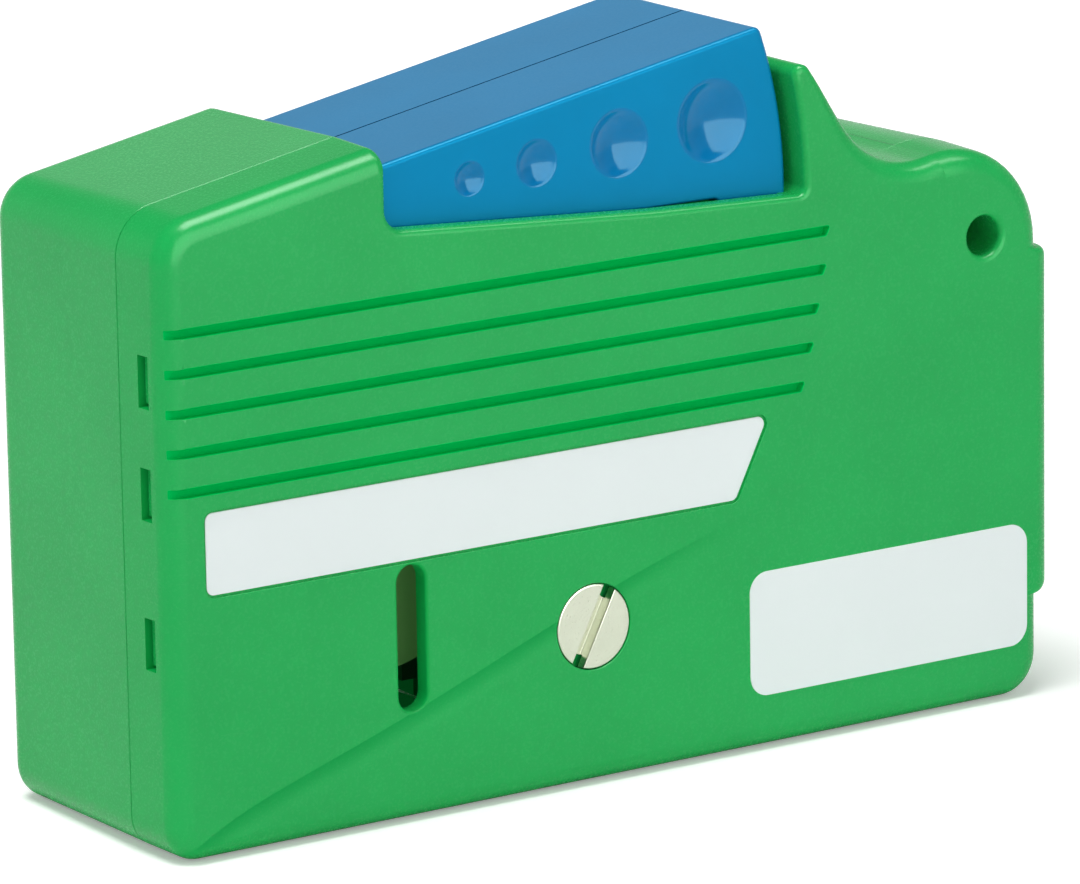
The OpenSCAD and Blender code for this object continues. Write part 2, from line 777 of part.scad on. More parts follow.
module lever_rear_half() {
    color("steelblue") place() difference() {
        translate([0, lever_back_y, 0]) mirror([0, 1, 0]) lever_half();
        // pilot holes of the sector's screws
        for (a = sector_screw_turns())
            bar(pivot + sector_screw_r() * [cos(a), sin(a)], frame_screw_r,
                lever_back_y - lever_wall - over, lever_back_y - face_gap * 6);
    }
}

module lever_pivot_pin() {
    color("silver") place() bar(pivot, pivot_pin_r, axle_seat + face_gap, body_d - axle_seat);
}

function sector_screw_turns() = [1, 9];
function sector_screw_r() = lever_r - lever_wall - frame_screw_head_r - 2 * post_gap;

// Toothed sector, screwed to the rear half of the lever
module drive_sector() {
    web_out_r = lever_r - lever_wall - post_gap;
    web_in_r = sector_screw_r() - sector_web / 2;
    tooth_turn = 360 / sector_teeth;
    first = -ceil((axle_turn - sector_end) / tooth_turn);
    last = ceil((sector_start - axle_turn) / tooth_turn);
    color("gainsboro") place() difference() {
        slab(sector_y, sector_y + sector_t) translate(pivot) union() {
            polygon(concat(
                teeth_points(sector_teeth, axle_turn, first, last),
                [for (i = [0:10])
                    let (a = axle_turn + tooth_turn * (last + (first - last) * i / 10))
                    web_in_r * [cos(a), sin(a)]]
            ));
            polygon(concat(
                arc([0, 0], web_out_r, sector_end, sector_hold, 16),
                arc([0, 0], web_in_r, sector_hold, sector_end, 16)
            ));
        }
        for (a = sector_screw_turns())
            bar(pivot + sector_screw_r() * [cos(a), sin(a)], frame_screw_r + pin_fit,
                sector_y - over, sector_y + sector_t + over);
    }
}

// Pan head screw along the depth, its head seated at depth y
module pan_screw(c, y, length) {
    difference() {
        union() {
            bar(c, frame_screw_head_r, y - frame_screw_head_t, y);
            bar(c, frame_screw_r - pin_fit, y - over, y + length);
        }
        translate([c[0], y - frame_screw_head_t, c[1]]) for (turn = [0, 90])
            rotate([0, turn, 0]) cube([
                frame_screw_head_r * 1.2, frame_screw_head_t, frame_screw_head_r * 0.3
            ], center = true);
    }
}

module sector_screws() {
    color("silver") place() for (a = sector_screw_turns())
        pan_screw(pivot + sector_screw_r() * [cos(a), sin(a)], sector_y,
            sector_t + lever_wall - face_gap * 7);
}

// Pinion, carrier disc and shutter wheel in one piece, on the take-up axle
module drive_gear() {
    color("gold") place() difference() {
        union() {
            slab(carrier_y + carrier_t - face_gap, lever_back_y - lever_wall + face_gap)
                translate(axle_c) polygon(teeth_points(
                    pinion_teeth, axle_turn + 180 + 180 / pinion_teeth, 0, pinion_teeth - 1
                ));
            bar(axle_c, carrier_r, carrier_y, carrier_y + carrier_t);
            bar(axle_c, axle_r + hub_wall, carrier_y, wheel_y + wheel_t);
            slab(wheel_y, wheel_y + wheel_t) translate(axle_c)
                polygon(teeth_points(wheel_teeth, 270 + 180 / wheel_teeth, 0, wheel_teeth - 1));
            bar(drive_pawl_c(), roller_pin_r - pin_fit, ratchet_y + face_gap * 3, carrier_y + carrier_t / 2);
        }
        bar(axle_c, axle_r + pin_fit, carrier_y - over, wheel_y + wheel_t + over);
    }
}

function polar(r, a) = r * [cos(a), sin(a)];
function drive_pawl_c() = axle_c + polar(ratchet_r + pawl_out, ratchet_turn - pawl_lead);

// Pawl on the drive gear that turns the take-up reel
module drive_pawl() {
    body_r = roller_pin_r + pawl_wall;
    tip = axle_c + polar(ratchet_root_r + pawl_nose, ratchet_turn - 5);
    heel = axle_c + polar(ratchet_r + pawl_nose, ratchet_turn - 6);
    e = way(drive_pawl_c(), tip);
    side = body_r * [-e[1], e[0]];
    color("white") place() slab(ratchet_y + face_gap * 2, carrier_y - face_gap) difference() {
        union() {
            translate(drive_pawl_c()) circle(r = body_r, $fn = fine);
            polygon([drive_pawl_c() - side, heel, tip, drive_pawl_c() + side]);
        }
        translate(drive_pawl_c()) circle(r = roller_pin_r, $fn = fine);
    }
}

// Spool with two flanges, bored for its axle
module spool(c) {
    difference() {
        union() {
            bar(c, hub_r, front_flange_y, ratchet_y);
            bar(c, flange_r, front_flange_y, front_flange_y + flange_t);
            children();
        }
        bar(c, axle_r + pin_fit, front_flange_y - over, ratchet_y + ratchet_t + over);
        // windows in the front flange
        for (i = [0:2])
            bar(c + (hub_r + flange_r) / 2 * [cos(120 * i + 30), sin(120 * i + 30)],
                (flange_r - hub_r) / 4, front_flange_y - over, front_flange_y + flange_t + over);
    }
}

module take_up_reel() {
    color("white") place() spool(axle_c) {
        slab(rear_flange_y, ratchet_y) translate(axle_c)
            polygon(saw_points(rim_teeth, flange_r, rim_root_r, ramp_share));
        slab(ratchet_y - face_gap, ratchet_y + ratchet_t) translate(axle_c)
            rotate(ratchet_turn) polygon(saw_points(ratchet_teeth, ratchet_r, ratchet_root_r, ramp_share));
    }
}

module supply_reel() {
    color("darkolivegreen") place() spool([supply_x, supply_z])
        bar([supply_x, supply_z], flange_r, rear_flange_y, ratchet_y);
}

module used_tape_winding() {
    color("lightgray") place() tube(axle_c, used_pack_r, hub_r + pin_fit, tape_y, tape_back_y);
}

module fresh_tape_winding() {
    color("white") place()
        tube([supply_x, supply_z], supply_pack_r, hub_r + pin_fit, tape_y, tape_back_y);
}

// Angle of the outside tangent from circle a to circle b, on the right of the way from a to b
function tangent_turn(a, ra, b, rb) =
    let (d = b - a) atan2(d[1], d[0]) - acos((ra - rb) / norm(d));

// Free run of tape: off the supply reel, under both rollers, up to the take-up reel
module cleaning_tape() {
    supply_c = [supply_x, supply_z];
    left_c = [left_roller_x, roller_z];
    right_c = [right_roller_x, roller_z];
    a_in = tangent_turn(supply_c, supply_pack_r, left_c, roller_r);
    a_out = tangent_turn(right_c, roller_r, axle_c, used_pack_r);
    stops = concat(
        [[supply_c, supply_pack_r, a_in]],
        [for (i = [0:4]) [left_c, roller_r, a_in + (-90 - a_in) * i / 4]],
        [for (i = [0:12]) [right_c, roller_r, -90 + (a_out + 90) * i / 12]],
        [[axle_c, used_pack_r, a_out]]
    );
    outer = [for (s = stops) s[0] + (s[1] + face_gap + tape_t) * [cos(s[2]), sin(s[2])]];
    inner = [for (s = stops) s[0] + (s[1] + face_gap) * [cos(s[2]), sin(s[2])]];
    count = len(stops);
    color("whitesmoke") place() slab(tape_y, tape_back_y)
        polygon(concat(outer, [for (i = [1:count]) inner[count - i]]));
}

module guide_roller(x) {
    color("lightslategray") place() difference() {
        union() {
            bar([x, roller_z], roller_r, tape_y - roller_side, tape_back_y + roller_side);
            bar([x, roller_z], roller_pin_r + roller_neck, tape_y - 3 * roller_side, frame_y - face_gap);
        }
        bar([x, roller_z], roller_pin_r + pin_fit, tape_y - over - 3 * roller_side, frame_y + over);
    }
}

module left_guide_roller() {
    guide_roller(left_roller_x);
}

module right_guide_roller() {
    guide_roller(right_roller_x);
}

// Roller pins, riveted into the tape frame, each with a collar in front of its roller
module roller_pins() {
    color("silver") place() for (x = [left_roller_x, right_roller_x]) {
        bar([x, roller_z], roller_pin_r, tape_y - 5 * roller_side, frame_y + frame_t);
        bar([x, roller_z], roller_pin_r + pin_collar, tape_y - 7 * roller_side, tape_y - 4 * roller_side);
    }
}

module reel_axles() {
    color("silver") place() for (c = [[supply_x, supply_z], axle_c])
        bar(c, axle_r, wall + over, body_d - axle_seat);
}

// Felt washer that keeps the supply reel from running on
module brake_washer() {
    color("dimgray") place()
        tube([supply_x, supply_z], boss_r, axle_r + pin_fit, ratchet_y + face_gap,
            ratchet_y + washer_t);
}

// Pawl that holds the take-up reel against turning back
module stop_pawl() {
    out = [cos(stop_turn), sin(stop_turn)];
    along = [sin(stop_turn), -cos(stop_turn)];
    color("white") place() slab(stop_y, stop_y + stop_t) difference() {
        union() {
            translate(stop_c) circle(r = stop_body_r, $fn = fine);
            polygon([
                stop_c + stop_body_r * out,
                stop_tip + (stop_out - stop_slim) * out,
                stop_tip,
                stop_tip + stop_nose * (along + 1.6 * out),
                stop_c - stop_body_r * (0.7 * out + 0.6 * along)
            ]);
        }
        translate(stop_c) circle(r = pawl_pin_r + pin_fit, $fn = fine);
    }
}

module stop_pawl_pin() {
    color("silver") place() {
        bar(stop_c, pawl_pin_r, stop_y - face_gap, body_d - axle_seat);
        bar(stop_c, pawl_pin_r + pin_collar, stop_y - 6 * face_gap, stop_y - face_gap);
    }
}

// Plate that carries the rollers, the platen and the slot plate
module tape_frame() {
    ear_r = small_post_r;
    color("dimgray") place() difference() {
        union() {
            translate([left_roller_x - ear_r, frame_y, frame_low_z])
                cube([right_roller_x - left_roller_x + 2 * ear_r, frame_t, frame_top_z - frame_low_z]);
            for (c = [left_frame_post, right_frame_post]) bar(c, ear_r, frame_y, frame_y + frame_t);
            translate([right_frame_post[0] - ear_r, frame_y, roller_z])
                cube([2 * ear_r, frame_t, right_frame_post[1] - roller_z]);
            translate([left_frame_post[0] - ear_r, frame_y, roller_z])
                cube([2 * ear_r, frame_t, left_frame_post[1] - roller_z]);
        }
        for (x = [left_roller_x, right_roller_x])
            bar([x, roller_z], roller_pin_r, frame_y - over, frame_y + frame_t + over);
        for (c = [left_frame_post, right_frame_post])
            bar(c, frame_screw_r + pin_fit, frame_y - over, frame_y + frame_t + over);
    }
}

module frame_screws() {
    color("silver") place() for (c = [left_frame_post, right_frame_post])
        pan_screw(c, frame_y, frame_t + frame_screw_l - over);
}

module platen_holder() {
    color("gray") place() difference() {
        translate([window_x - wall, tape_y, pad_z + pad_t])
            cube([window_w + 2 * wall, frame_y - tape_y, holder_t]);
        translate([window_x, tape_y + 2 * wall, pad_z + pad_t + holder_t / 2])
            cube([window_w, tape_w - 2 * wall, holder_t]);
    }
}

// Soft pad behind the tape, with its front and rear edges eased
module platen_pad() {
    ease = pad_t / 4;
    color("darkslategray") place() translate([window_x, 0, 0]) rotate([90, 0, 90])
        linear_extrude(window_w) polygon([
            [tape_y + over + ease, pad_z],
            [tape_back_y - over - ease, pad_z],
            [tape_back_y - over, pad_z + ease],
            [tape_back_y - over, pad_z + pad_t],
            [tape_y + over, pad_z + pad_t],
            [tape_y + over, pad_z + ease]
        ]);
}

module slot_plate() {
    color("white") place() difference() {
        translate([window_x - 2 * wall, plate_front_y, slot_plate_z])
            cube([window_w + 4 * wall, frame_y + frame_t - plate_front_y, slot_plate_t]);
        for (i = [0, 1])
            translate([
                window_x + wall, window_y + over + i * (wipe_w + wipe_bar), slot_plate_z - over
            ])
                cube([window_w - 2 * wall, wipe_w, slot_plate_t + 2 * over]);
    }
}

// Sliding door of the window, with the rack that the wheel drives
module shutter() {
    arm_y = wheel_y + face_gap;
    arm_t = wheel_t - 2 * face_gap;
    rack_first = -round(shutter_travel / rack_pitch);
    rack_last = floor(mesh_half / rack_pitch);
    rack_left = axle_c[0] + (rack_first - 0.5) * rack_pitch;
    rack_right = axle_c[0] + (rack_last + 0.5) * rack_pitch;
    flank = tan(pressure);
    half_tooth = rack_pitch / 4 - backlash / 4;
    color("darkgray") place() {
        translate([window_x - shutter_lap, window_y - slide_fit, shutter_z])
            cube([
                window_w + 2 * shutter_lap, arm_y + arm_t - window_y + slide_fit, shutter_t
            ]);
        slab(arm_y, arm_y + arm_t) polygon(concat(
            [[rack_left, shutter_z], [rack_left, rack_z - dedendum]],
            [for (i = [rack_first:rack_last]) for (p = [
                [-half_tooth - dedendum * flank, -dedendum],
                [-half_tooth + addendum * flank, addendum],
                [half_tooth - addendum * flank, addendum],
                [half_tooth + dedendum * flank, -dedendum]
            ]) [axle_c[0] + i * rack_pitch, rack_z] + p],
            [[rack_right, rack_z - dedendum], [rack_right, shutter_z]]
        ));
    }
}

// Centre line of the spring: closed end coils, open coils between them
function spring_point(i) =
    let (
        s = i / (spring_turns * ring_steps),
        low = spring_seat_z + face_gap + wire_r,
        high = spring_top_z - wire_r,
        dead = 1.2 * wire_r * 2,
        lift = s < 1 / spring_turns ? s * spring_turns * dead
            : s > 1 - 1 / spring_turns ? high - low - (1 - s) * spring_turns * dead
            : dead + (high - low - 2 * dead) * (s * spring_turns - 1) / (spring_turns - 2)
    )
    [
        spring_x + spring_r * cos(360 * i / ring_steps),
        spring_y + spring_r * sin(360 * i / ring_steps),
        low + lift
    ];

// Compression spring under the lever: one tube swept along its helix
module return_spring() {
    last = spring_turns * ring_steps;
    rings = [for (i = [0:last])
        let (
            c = spring_point(i),
            a = 360 * i / ring_steps,
            out = [cos(a), sin(a), 0]
        )
        for (k = [0:wire_sides - 1])
            let (b = 360 * k / wire_sides) c + wire_r * (cos(b) * out + sin(b) * [0, 0, 1])];
    sides = [for (i = [0:last - 1]) for (k = [0:wire_sides - 1])
        let (
            p = i * wire_sides + k,
            q = i * wire_sides + (k + 1) % wire_sides
        )
        for (f = [[p, q, q + wire_sides], [p, q + wire_sides, p + wire_sides]]) f];
    start = [for (k = [1:wire_sides - 2]) [0, k + 1, k]];
    end = [for (k = [1:wire_sides - 2])
        [last * wire_sides, last * wire_sides + k, last * wire_sides + k + 1]];
    color("silver") place() polyhedron(points = rings, faces = concat(sides, start, end));
}

// Least distance between neighbouring coils, wire to wire
spring_gap = min([for (i = [0:(spring_turns - 1) * ring_steps])
    norm(spring_point(i + ring_steps) - spring_point(i))]) - 2 * wire_r;
echo(spring_gap = spring_gap);

module coin_screw() {
    c = [screw_x, screw_z];
    chamfer = head_t / 6;
    color("lightgray") place() difference() {
        union() {
            bar(c, head_r, chamfer, head_rim_t);
            bar(c, head_neck_r, head_rim_t - over, head_t - pin_fit);
            translate([c[0], chamfer, c[1]]) rotate([90, 0, 0])
                cylinder(r1 = head_r, r2 = head_r - chamfer, h = chamfer, $fn = fine);
            bar(c, thread_r, head_t - over, head_t + thread_l);
        }
        translate([c[0], 0, c[1]]) rotate([0, -driver_turn, 0])
            cube([2 * head_r + over, 2 * slot_depth, driver_w], center = true);
    }
}

module screw_washer() {
    color("white") place() tube([screw_x, screw_z], head_r - over, thread_r,
        cover_boss_y + face_gap, cover_boss_y + washer_t);
}

// Brass insert in the rear shell's post, grooved for grip
module threaded_insert() {
    y0 = insert_y;
    c = [screw_x, screw_z];
    color("goldenrod") place() difference() {
        bar(c, insert_r, y0, y0 + insert_l);
        bar(c, thread_r + pin_fit, y0 - over, y0 + insert_l + over);
        for (s = [1, 2]) translate([0, y0 + insert_l * s / 3, 0])
            tube(c, insert_r + over, insert_r - knurl_t, -insert_l / 20, insert_l / 20);
    }
}

module name_plate() {
    color("white") place() slab(plate_recess - label_t, plate_recess) plate_outline();
}

module sticker() {
    right_x = body_w - edge_r;
    color("white") place() slab(-label_t, 0) translate([right_x - sticker_w, sticker_z]) union() {
        translate([sticker_r, 0]) square([sticker_w - 2 * sticker_r, sticker_h]);
        translate([0, sticker_r]) square([sticker_w, sticker_h - 2 * sticker_r]);
        for (x = [sticker_r, sticker_w - sticker_r]) for (z = [sticker_r, sticker_h - sticker_r])
            translate([x, z]) circle(r = sticker_r, $fn = fine);
    }
}

front_cover();
rear_shell();
lever_front_half();
lever_rear_half();
lever_pivot_pin();
drive_sector();
sector_screws();
drive_gear();
drive_pawl();
take_up_reel();
used_tape_winding();
supply_reel();
fresh_tape_winding();
cleaning_tape();
left_guide_roller();
right_guide_roller();
roller_pins();
reel_axles();
brake_washer();
stop_pawl();
stop_pawl_pin();
tape_frame();
frame_screws();
platen_holder();
platen_pad();
slot_plate();
shutter();
return_spring();
coin_screw();
screw_washer();
threaded_insert();
name_plate();
sticker();
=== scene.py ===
import json
import math

import bpy
import numpy as np
from mathutils import Matrix, Vector


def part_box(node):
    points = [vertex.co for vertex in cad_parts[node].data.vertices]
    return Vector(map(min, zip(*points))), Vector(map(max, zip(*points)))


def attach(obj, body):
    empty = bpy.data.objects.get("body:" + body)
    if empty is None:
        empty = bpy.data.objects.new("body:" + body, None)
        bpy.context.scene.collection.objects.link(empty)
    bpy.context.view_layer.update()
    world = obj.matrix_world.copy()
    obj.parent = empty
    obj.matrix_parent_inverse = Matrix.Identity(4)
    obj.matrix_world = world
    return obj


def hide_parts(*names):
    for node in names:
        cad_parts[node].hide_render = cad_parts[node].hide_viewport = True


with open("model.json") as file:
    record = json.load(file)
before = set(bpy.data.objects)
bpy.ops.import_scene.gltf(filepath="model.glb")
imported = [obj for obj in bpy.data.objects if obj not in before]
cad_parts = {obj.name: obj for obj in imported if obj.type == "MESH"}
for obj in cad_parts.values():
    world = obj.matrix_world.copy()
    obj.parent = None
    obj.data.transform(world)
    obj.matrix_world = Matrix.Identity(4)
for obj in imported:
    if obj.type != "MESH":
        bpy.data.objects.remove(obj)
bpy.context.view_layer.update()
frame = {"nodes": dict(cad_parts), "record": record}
nodes = frame["nodes"]
print("stage: frame loaded")

# Case coordinates in mm: x from the left wall, y back from the front face, z up from the base
mm = 0.001
caseCorner = np.array([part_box("front_cover")[0][0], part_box("front_cover")[0][1], 0.0])

overrun = 1.0  # How far a cutter runs past what it cuts, and a post starts inside another
touch = 0.01  # Points nearer than this are one place
unbroken = 999.0  # A step so long that a straight stretch gets no points of its own
sides = {"bore": 48, "hole": 64, "seat": 96, "screw": 128}  # Sides of a circle, by how closely it is seen


# Places in the frame, in m, of points in case coordinates: the point times mm, plus the case's corner
def inFrame(points):
    return np.asarray(points, float) * mm + caseCorner


# Lengths in mm and angles in degrees, as in the part's source. The bay for the lever is an arc about its
# pivot, which stops short of its two corners by arcTrim. The pad's zone and the bay's are where shell()
# treats them apart. The sill's bend lies right of the bay's middle, by the share bendShare of bayLeft.
case = {
    "wide": 118.0, "deep": 36.4, "coverDeep": 8.9, "leftHigh": 70.2, "roofSlope": 10.6, "wall": 2.0,
    "frontEdge": 2.6, "rearEdge": 3.0, "draw": 0.7, "coverLean": 0.36, "foot": 4.0, "toe": 5.0,
    "shoulder": 5.5, "padOut": 1.6, "padLow": 12.0, "padHigh": 52.8, "padCorner": 1.3,
    "padZone": (0.35, 0.5), "nook": 0.3,
    "humpRadius": 11.7, "humpHigh": 53.6, "humpTurn": 104.0, "valleyRadius": 11.5, "valleyTurn": 215.4,
    "valleyEdge": 2.3, "hornHigh": 78.2, "hornSlope": 0.25, "hornTip": 1.1, "hornEdge": 0.9,
    "bayLeft": 28.8, "bayCorner": 1.0, "bayEdge": 0.8, "bayFoot": 0.9, "bayZoneShare": 1.25,
    "arcTrim": (2.0, 1.2), "arcPoints": 16, "sillLeft": 66.3, "sillMid": 63.9, "sillRight": 63.1,
    "sillCorner": 2.4, "sillBend": 60.0, "bendShare": 0.25, "seam": 0.06, "seamGap": 0.1, "edgeRings": 10,
}

# The lever turns about its pivot, and its end is an arc about it. Each dish is a pair of shares of the
# reach: how far from the pivot its middle lies, and its radius. Behind its floor the wall is still at least
# dishFloorGaps gaps thick.
lever = {
    "pivot": (30.0, 63.8), "reach": 53.45, "rise": 9.25, "slope": 10.5, "front": 2.4, "back": 30.4,
    "wall": 2.2, "edge": 0.55, "corner": 0.95, "gap": 0.4, "endGap": 1.15, "nose": 4.4, "lift": 1.0,
    "legWide": 9.0, "legLong": 6.8, "legCorner": 1.0, "legSlant": 0.5, "low": 0.3, "lowEdge": 0.3,
    "heelTurn": 1.0, "endFrom": 4.0, "endTrim": 1.6, "endPoints": 14, "edgeRings": 7,
    "hollowLow": 20.0, "hollowBeyond": 5.0, "hollowShare": 0.98, "hollowTrim": 0.3, "hollowPoints": 12,
    "dishShares": [(0.208, 0.035), (0.373, 0.048), (0.578, 0.069), (0.813, 0.084)],
    "dishDeepShare": 0.33, "dishLipShare": 0.2, "dishFloorGaps": 1.5, "dishRings": (6, 22), "dishPole": 0.01,
    "noseFrom": 0.02, "noseParts": 3, "pin": 1.55, "pinBeyond": 4.0, "seam": 0.05, "seamGap": 0.08,
}

# Bosses, posts and bores inside. The posts of one shell end where the pieces they carry begin.
inside = {
    "screw": (55.0, 18.1), "headRadius": 4.94, "headDeep": 1.8, "seatLip": 0.12, "shank": 2.6,
    "coverBoss": 6.5, "bossEnd": 4.8, "post": 4.8, "postFrom": 5.6, "postTo": 15.1, "insert": 3.3,
    "insertTo": 13.6, "slimPost": 3.0, "boss": 4.5, "coverBossEnd": 7.7, "rearWall": 34.4,
    "axle": 2.05, "press": 0.05, "supply": (31.0, 33.0), "supplyBossFrom": 22.9, "takeUpBossFrom": 32.9,
    "pivotBossFrom": 30.7,
    "stopPost": 2.4, "stopFrom": 22.9, "framePosts": [(47.5, 13.1), (103.8, 23.16)], "framePostFrom": 24.65,
    "spring": (57.44, 9.4), "springSeat": 4.7, "springHigh": (18.1, 25.5), "spigot": (2.7, 3.0),
    "stopPin": 1.2, "frameScrew": 1.1, "frameScrewTo": 30.65, "pinFrom": 1.0, "pinTo": 35.4,
    "roomTop": 61.0, "roomCorner": 1.0, "roofGap": 0.1, "humpRoomShare": 0.95, "humpRoomWalls": 4,
    "throatFrom": 0.5, "throatTo": 30.8, "throatHigh": 70.0, "overlap": 0.5, "sunk": 0.1,
}

# Moulded crease that climbs across the face: points (x, z) on it, and the shallow valley under it, which
# fades out between the two fades. The cutter of the valley starts proud of the face. Under the crease, and
# on the round at the face's foot, painted shade darkens the colour and dims the shine.
crease = {
    "line": ((0, 0.4), (3.5, 2.25), (6, 3.7), (15.4, 7.2), (25.3, 10.5), (33.9, 13.6), (42.5, 16.4),
             (49.4, 18.8), (56, 22.2), (63.2, 24.1), (69.8, 25.9), (78, 28), (90, 31), (105, 34), (118, 36)),
    "degree": 6, "wide": 3.4, "steep": 1.1, "deep": 0.13, "fade": (54.0, 80.0), "from": 2.5,
    "columns": 110, "rows": (8, 12), "firstRow": 0.06, "sunk": 0.002, "proud": 0.6,
    "bandPoints": 16, "bandHigh": 100.0, "bandPower": 1.5, "bandEdge": 0.08, "footBand": (0.4, 2.2, 0.7),
}


# Height of the crease at x: one polynomial through its points, by least squares
def creaseHigh(x):
    line = np.array(crease["line"])
    curve = np.polyfit(line[:, 0] / case["wide"], line[:, 1], crease["degree"])
    return np.polyval(curve, np.asarray(x) / case["wide"])


# Linear colour of an sRGB hex code, by the standard's own curve
def srgb(code):
    parts = [int(code[i:i + 2], 16) / 255 for i in (0, 2, 4)]
    return tuple(p / 12.92 if p <= 0.04045 else ((p + 0.055) / 1.055) ** 2.4 for p in parts) + (1.0,)


# Outlines and solids

# The ease from 0 to 1 is 3t² - 2t³
def ease(t):
    t = np.clip(t, 0, 1)
    return t * t * (3 - 2 * t)


# A corner is (x, z, radius, front edge, rear edge, draw), and they run counter-clockwise seen from the
# front. A corner of radius r turns about the centre c, in steps of c + r (cos a, sin a). Along a straight
# stretch, or over the last half of a corner that touches the next, the last three values ease from one
# corner to the next. Returns the points, their outward normals and the values.
def roundOutline(corners, lineStep=1.0, arcStep=7.0, fewestSteps=3, longGap=0.8, straight=1e-4):
    corners = [tuple(c) + (0.0,) * (6 - len(c)) for c in corners]
    at = np.array([c[:2] for c in corners], float)
    ways = np.roll(at, -1, axis=0) - at
    ways /= np.linalg.norm(ways, axis=1)[:, None]
    turns = []
    for i, corner in enumerate(corners):
        before, after = ways[i - 1], ways[i]
        turn = math.acos(float(np.clip(before @ after, -1, 1)))
        side = 1.0 if before[0] * after[1] - before[1] * after[0] > 0 else -1.0
        if corner[2] > 0 and turn > straight:
            left = np.array([-before[1], before[0]]) * side
            centre = at[i] + (left - before * math.tan(turn / 2)) * corner[2]
            start = math.atan2(-left[1], -left[0])
            steps = max(fewestSteps, int(math.ceil(math.degrees(turn) / arcStep)))
            angles = start + side * turn * np.linspace(0, 1, steps + 1)
            out = np.stack([np.cos(angles), np.sin(angles)], axis=1)
            turns.append((centre + corner[2] * out, out * side, np.array(corner[3:])))
        else:
            across = before + after
            across /= np.linalg.norm(across)
            turns.append((at[i][None], np.array([[across[1], -across[0]]]), np.array(corner[3:])))
    points, normals, values = [], [], []
    for i, (stretch, outward, value) in enumerate(turns):
        ahead, _, nextValue = turns[(i + 1) % len(turns)]
        gap = np.linalg.norm(ahead[0] - stretch[-1])
        changes = gap > longGap and np.any(value != nextValue)
        count = max(int(gap // lineStep), fewestSteps if changes else 0)
        t = np.linspace(0, 1, count + 2)[1:-1, None]
        late = ease(np.linspace(-1, 1, len(stretch)))[:, None] if gap < touch else 0
        points += [stretch, stretch[-1] + (ahead[0] - stretch[-1]) * t]
        normals += [outward, np.tile([ways[i][1], -ways[i][0]], (count, 1))]
        values += [np.tile(value, (len(stretch), 1)) + (nextValue - value) * late,
                   value + (nextValue - value) * ease(t)]
    return np.concatenate(points), np.concatenate(normals), np.concatenate(values)


# Points of an arc, each a corner without a radius of its own
def arcCorners(centre, radius, start, end, count, *rest):
    angles = np.radians(np.linspace(start, end, count))
    return [(centre[0] + radius * math.cos(a), centre[1] + radius * math.sin(a), 0.0) + rest for a in angles]


# Points centre + radius (cos a, sin a), and their outward normals
def circle(centre, radius, count=sides["bore"]):
    angles = np.linspace(0, 2 * math.pi, count, endpoint=False)
    out = np.stack([np.cos(angles), np.sin(angles)], axis=1)
    return np.array(centre) + radius * out, out


# Closed surface through rings of equal length, with a flat cap at each end
def skin(name, rings):
    rings = np.asarray(rings, float)
    stations, around = rings.shape[:2]
    row = np.arange(around)
    following = (row + 1) % around
    low = (np.arange(stations - 1) * around)[:, None]
    quads = np.stack([low + row, low + around + row, low + around + following, low + following], axis=2)
    faces = quads.reshape(-1, 4).tolist() + [row.tolist(), (row[::-1] + (stations - 1) * around).tolist()]
    mesh = bpy.data.meshes.new(name)
    mesh.from_pydata(rings.reshape(-1, 3).tolist(), [], faces)
    piece = bpy.data.objects.new(name, mesh)
    bpy.context.scene.collection.objects.link(piece)
    return piece


# Solid of one outline: at each station it lies at depth y, drawn in by inset along its normals
def loft(name, outline, stations):
    points, outward = outline[0], outline[1]
    rings = [np.insert(points - outward * inset, 1, y, axis=1) for y, inset in stations]
    return skin(name, inFrame(rings))


# Stations of a pocket cut from the face at y = 0. Its mouth is rounded by lip: y = lip (1 - cos a), inset =
# -lip (1 - sin a). Its floor is rounded by foot: y = deep - foot (1 - sin a), inset = foot (1 - cos a).
def pocket(deep, lip, foot=0.0, rings=6):
    angles = np.linspace(0, math.pi / 2, rings)
    mouth = [(-overrun, -lip)] + [(lip * (1 - math.cos(a)), -lip * (1 - math.sin(a))) for a in angles]
    floorPart = [(deep - foot * (1 - math.sin(a)), foot * (1 - math.cos(a))) for a in angles]
    return mouth + (floorPart if foot > 0 else [(deep, 0.0)])


# Cutter for the valley under the crease. At d mm below the crease the valley is deep (1 - (1 - d / steep)²)
# until d is steep, and then eases back to the face at d = wide. Along x it eases out between the fades.
def creaseValley():
    c = crease
    x = np.linspace(c["from"], c["fade"][1], c["columns"])
    steepRows = np.linspace(c["firstRow"], c["steep"], c["rows"][0])
    down = np.concatenate([[0.0], steepRows, np.linspace(c["steep"], c["wide"], c["rows"][1])[1:]])
    near = 1 - (1 - np.clip(down / c["steep"], 0, 1)) ** 2
    form = near * (1 - ease((down - c["steep"]) / (c["wide"] - c["steep"]))) * c["deep"]
    fade = ease((c["fade"][1] - x) / (c["fade"][1] - c["fade"][0]))
    low = creaseHigh(x)[:, None] - np.append(down, [c["wide"], 0.0])
    y = np.concatenate([form * fade[:, None] - c["sunk"], np.full((len(x), 2), -c["proud"])], axis=1)
    return skin("valley", inFrame(np.stack([np.broadcast_to(x[:, None], y.shape), y, low], axis=2)))


# The same stations seen from the rear face
def fromRear(stations):
    return [(case["deep"] - y, inset) for y, inset in reversed(stations)]


# Round bar along the depth from y0 to y1
def bar(centre, radius, y0, y1):
    return loft("bar", circle(centre, radius), [(y0, 0), (y1, 0)])


# Round bar that stands from z0 to z1 at the place (x, y)
def upright(centre, radius, z0, z1):
    return skin("upright", inFrame([np.insert(circle(centre, radius)[0], 2, z, axis=1) for z in (z0, z1)]))


# Box between two values each of x, y and z
def block(x, y, z):
    points = np.array([(x[0], z[0]), (x[1], z[0]), (x[1], z[1]), (x[0], z[1])], float)
    return loft("block", (points, np.zeros_like(points)), [(y[0], 0), (y[1], 0)])


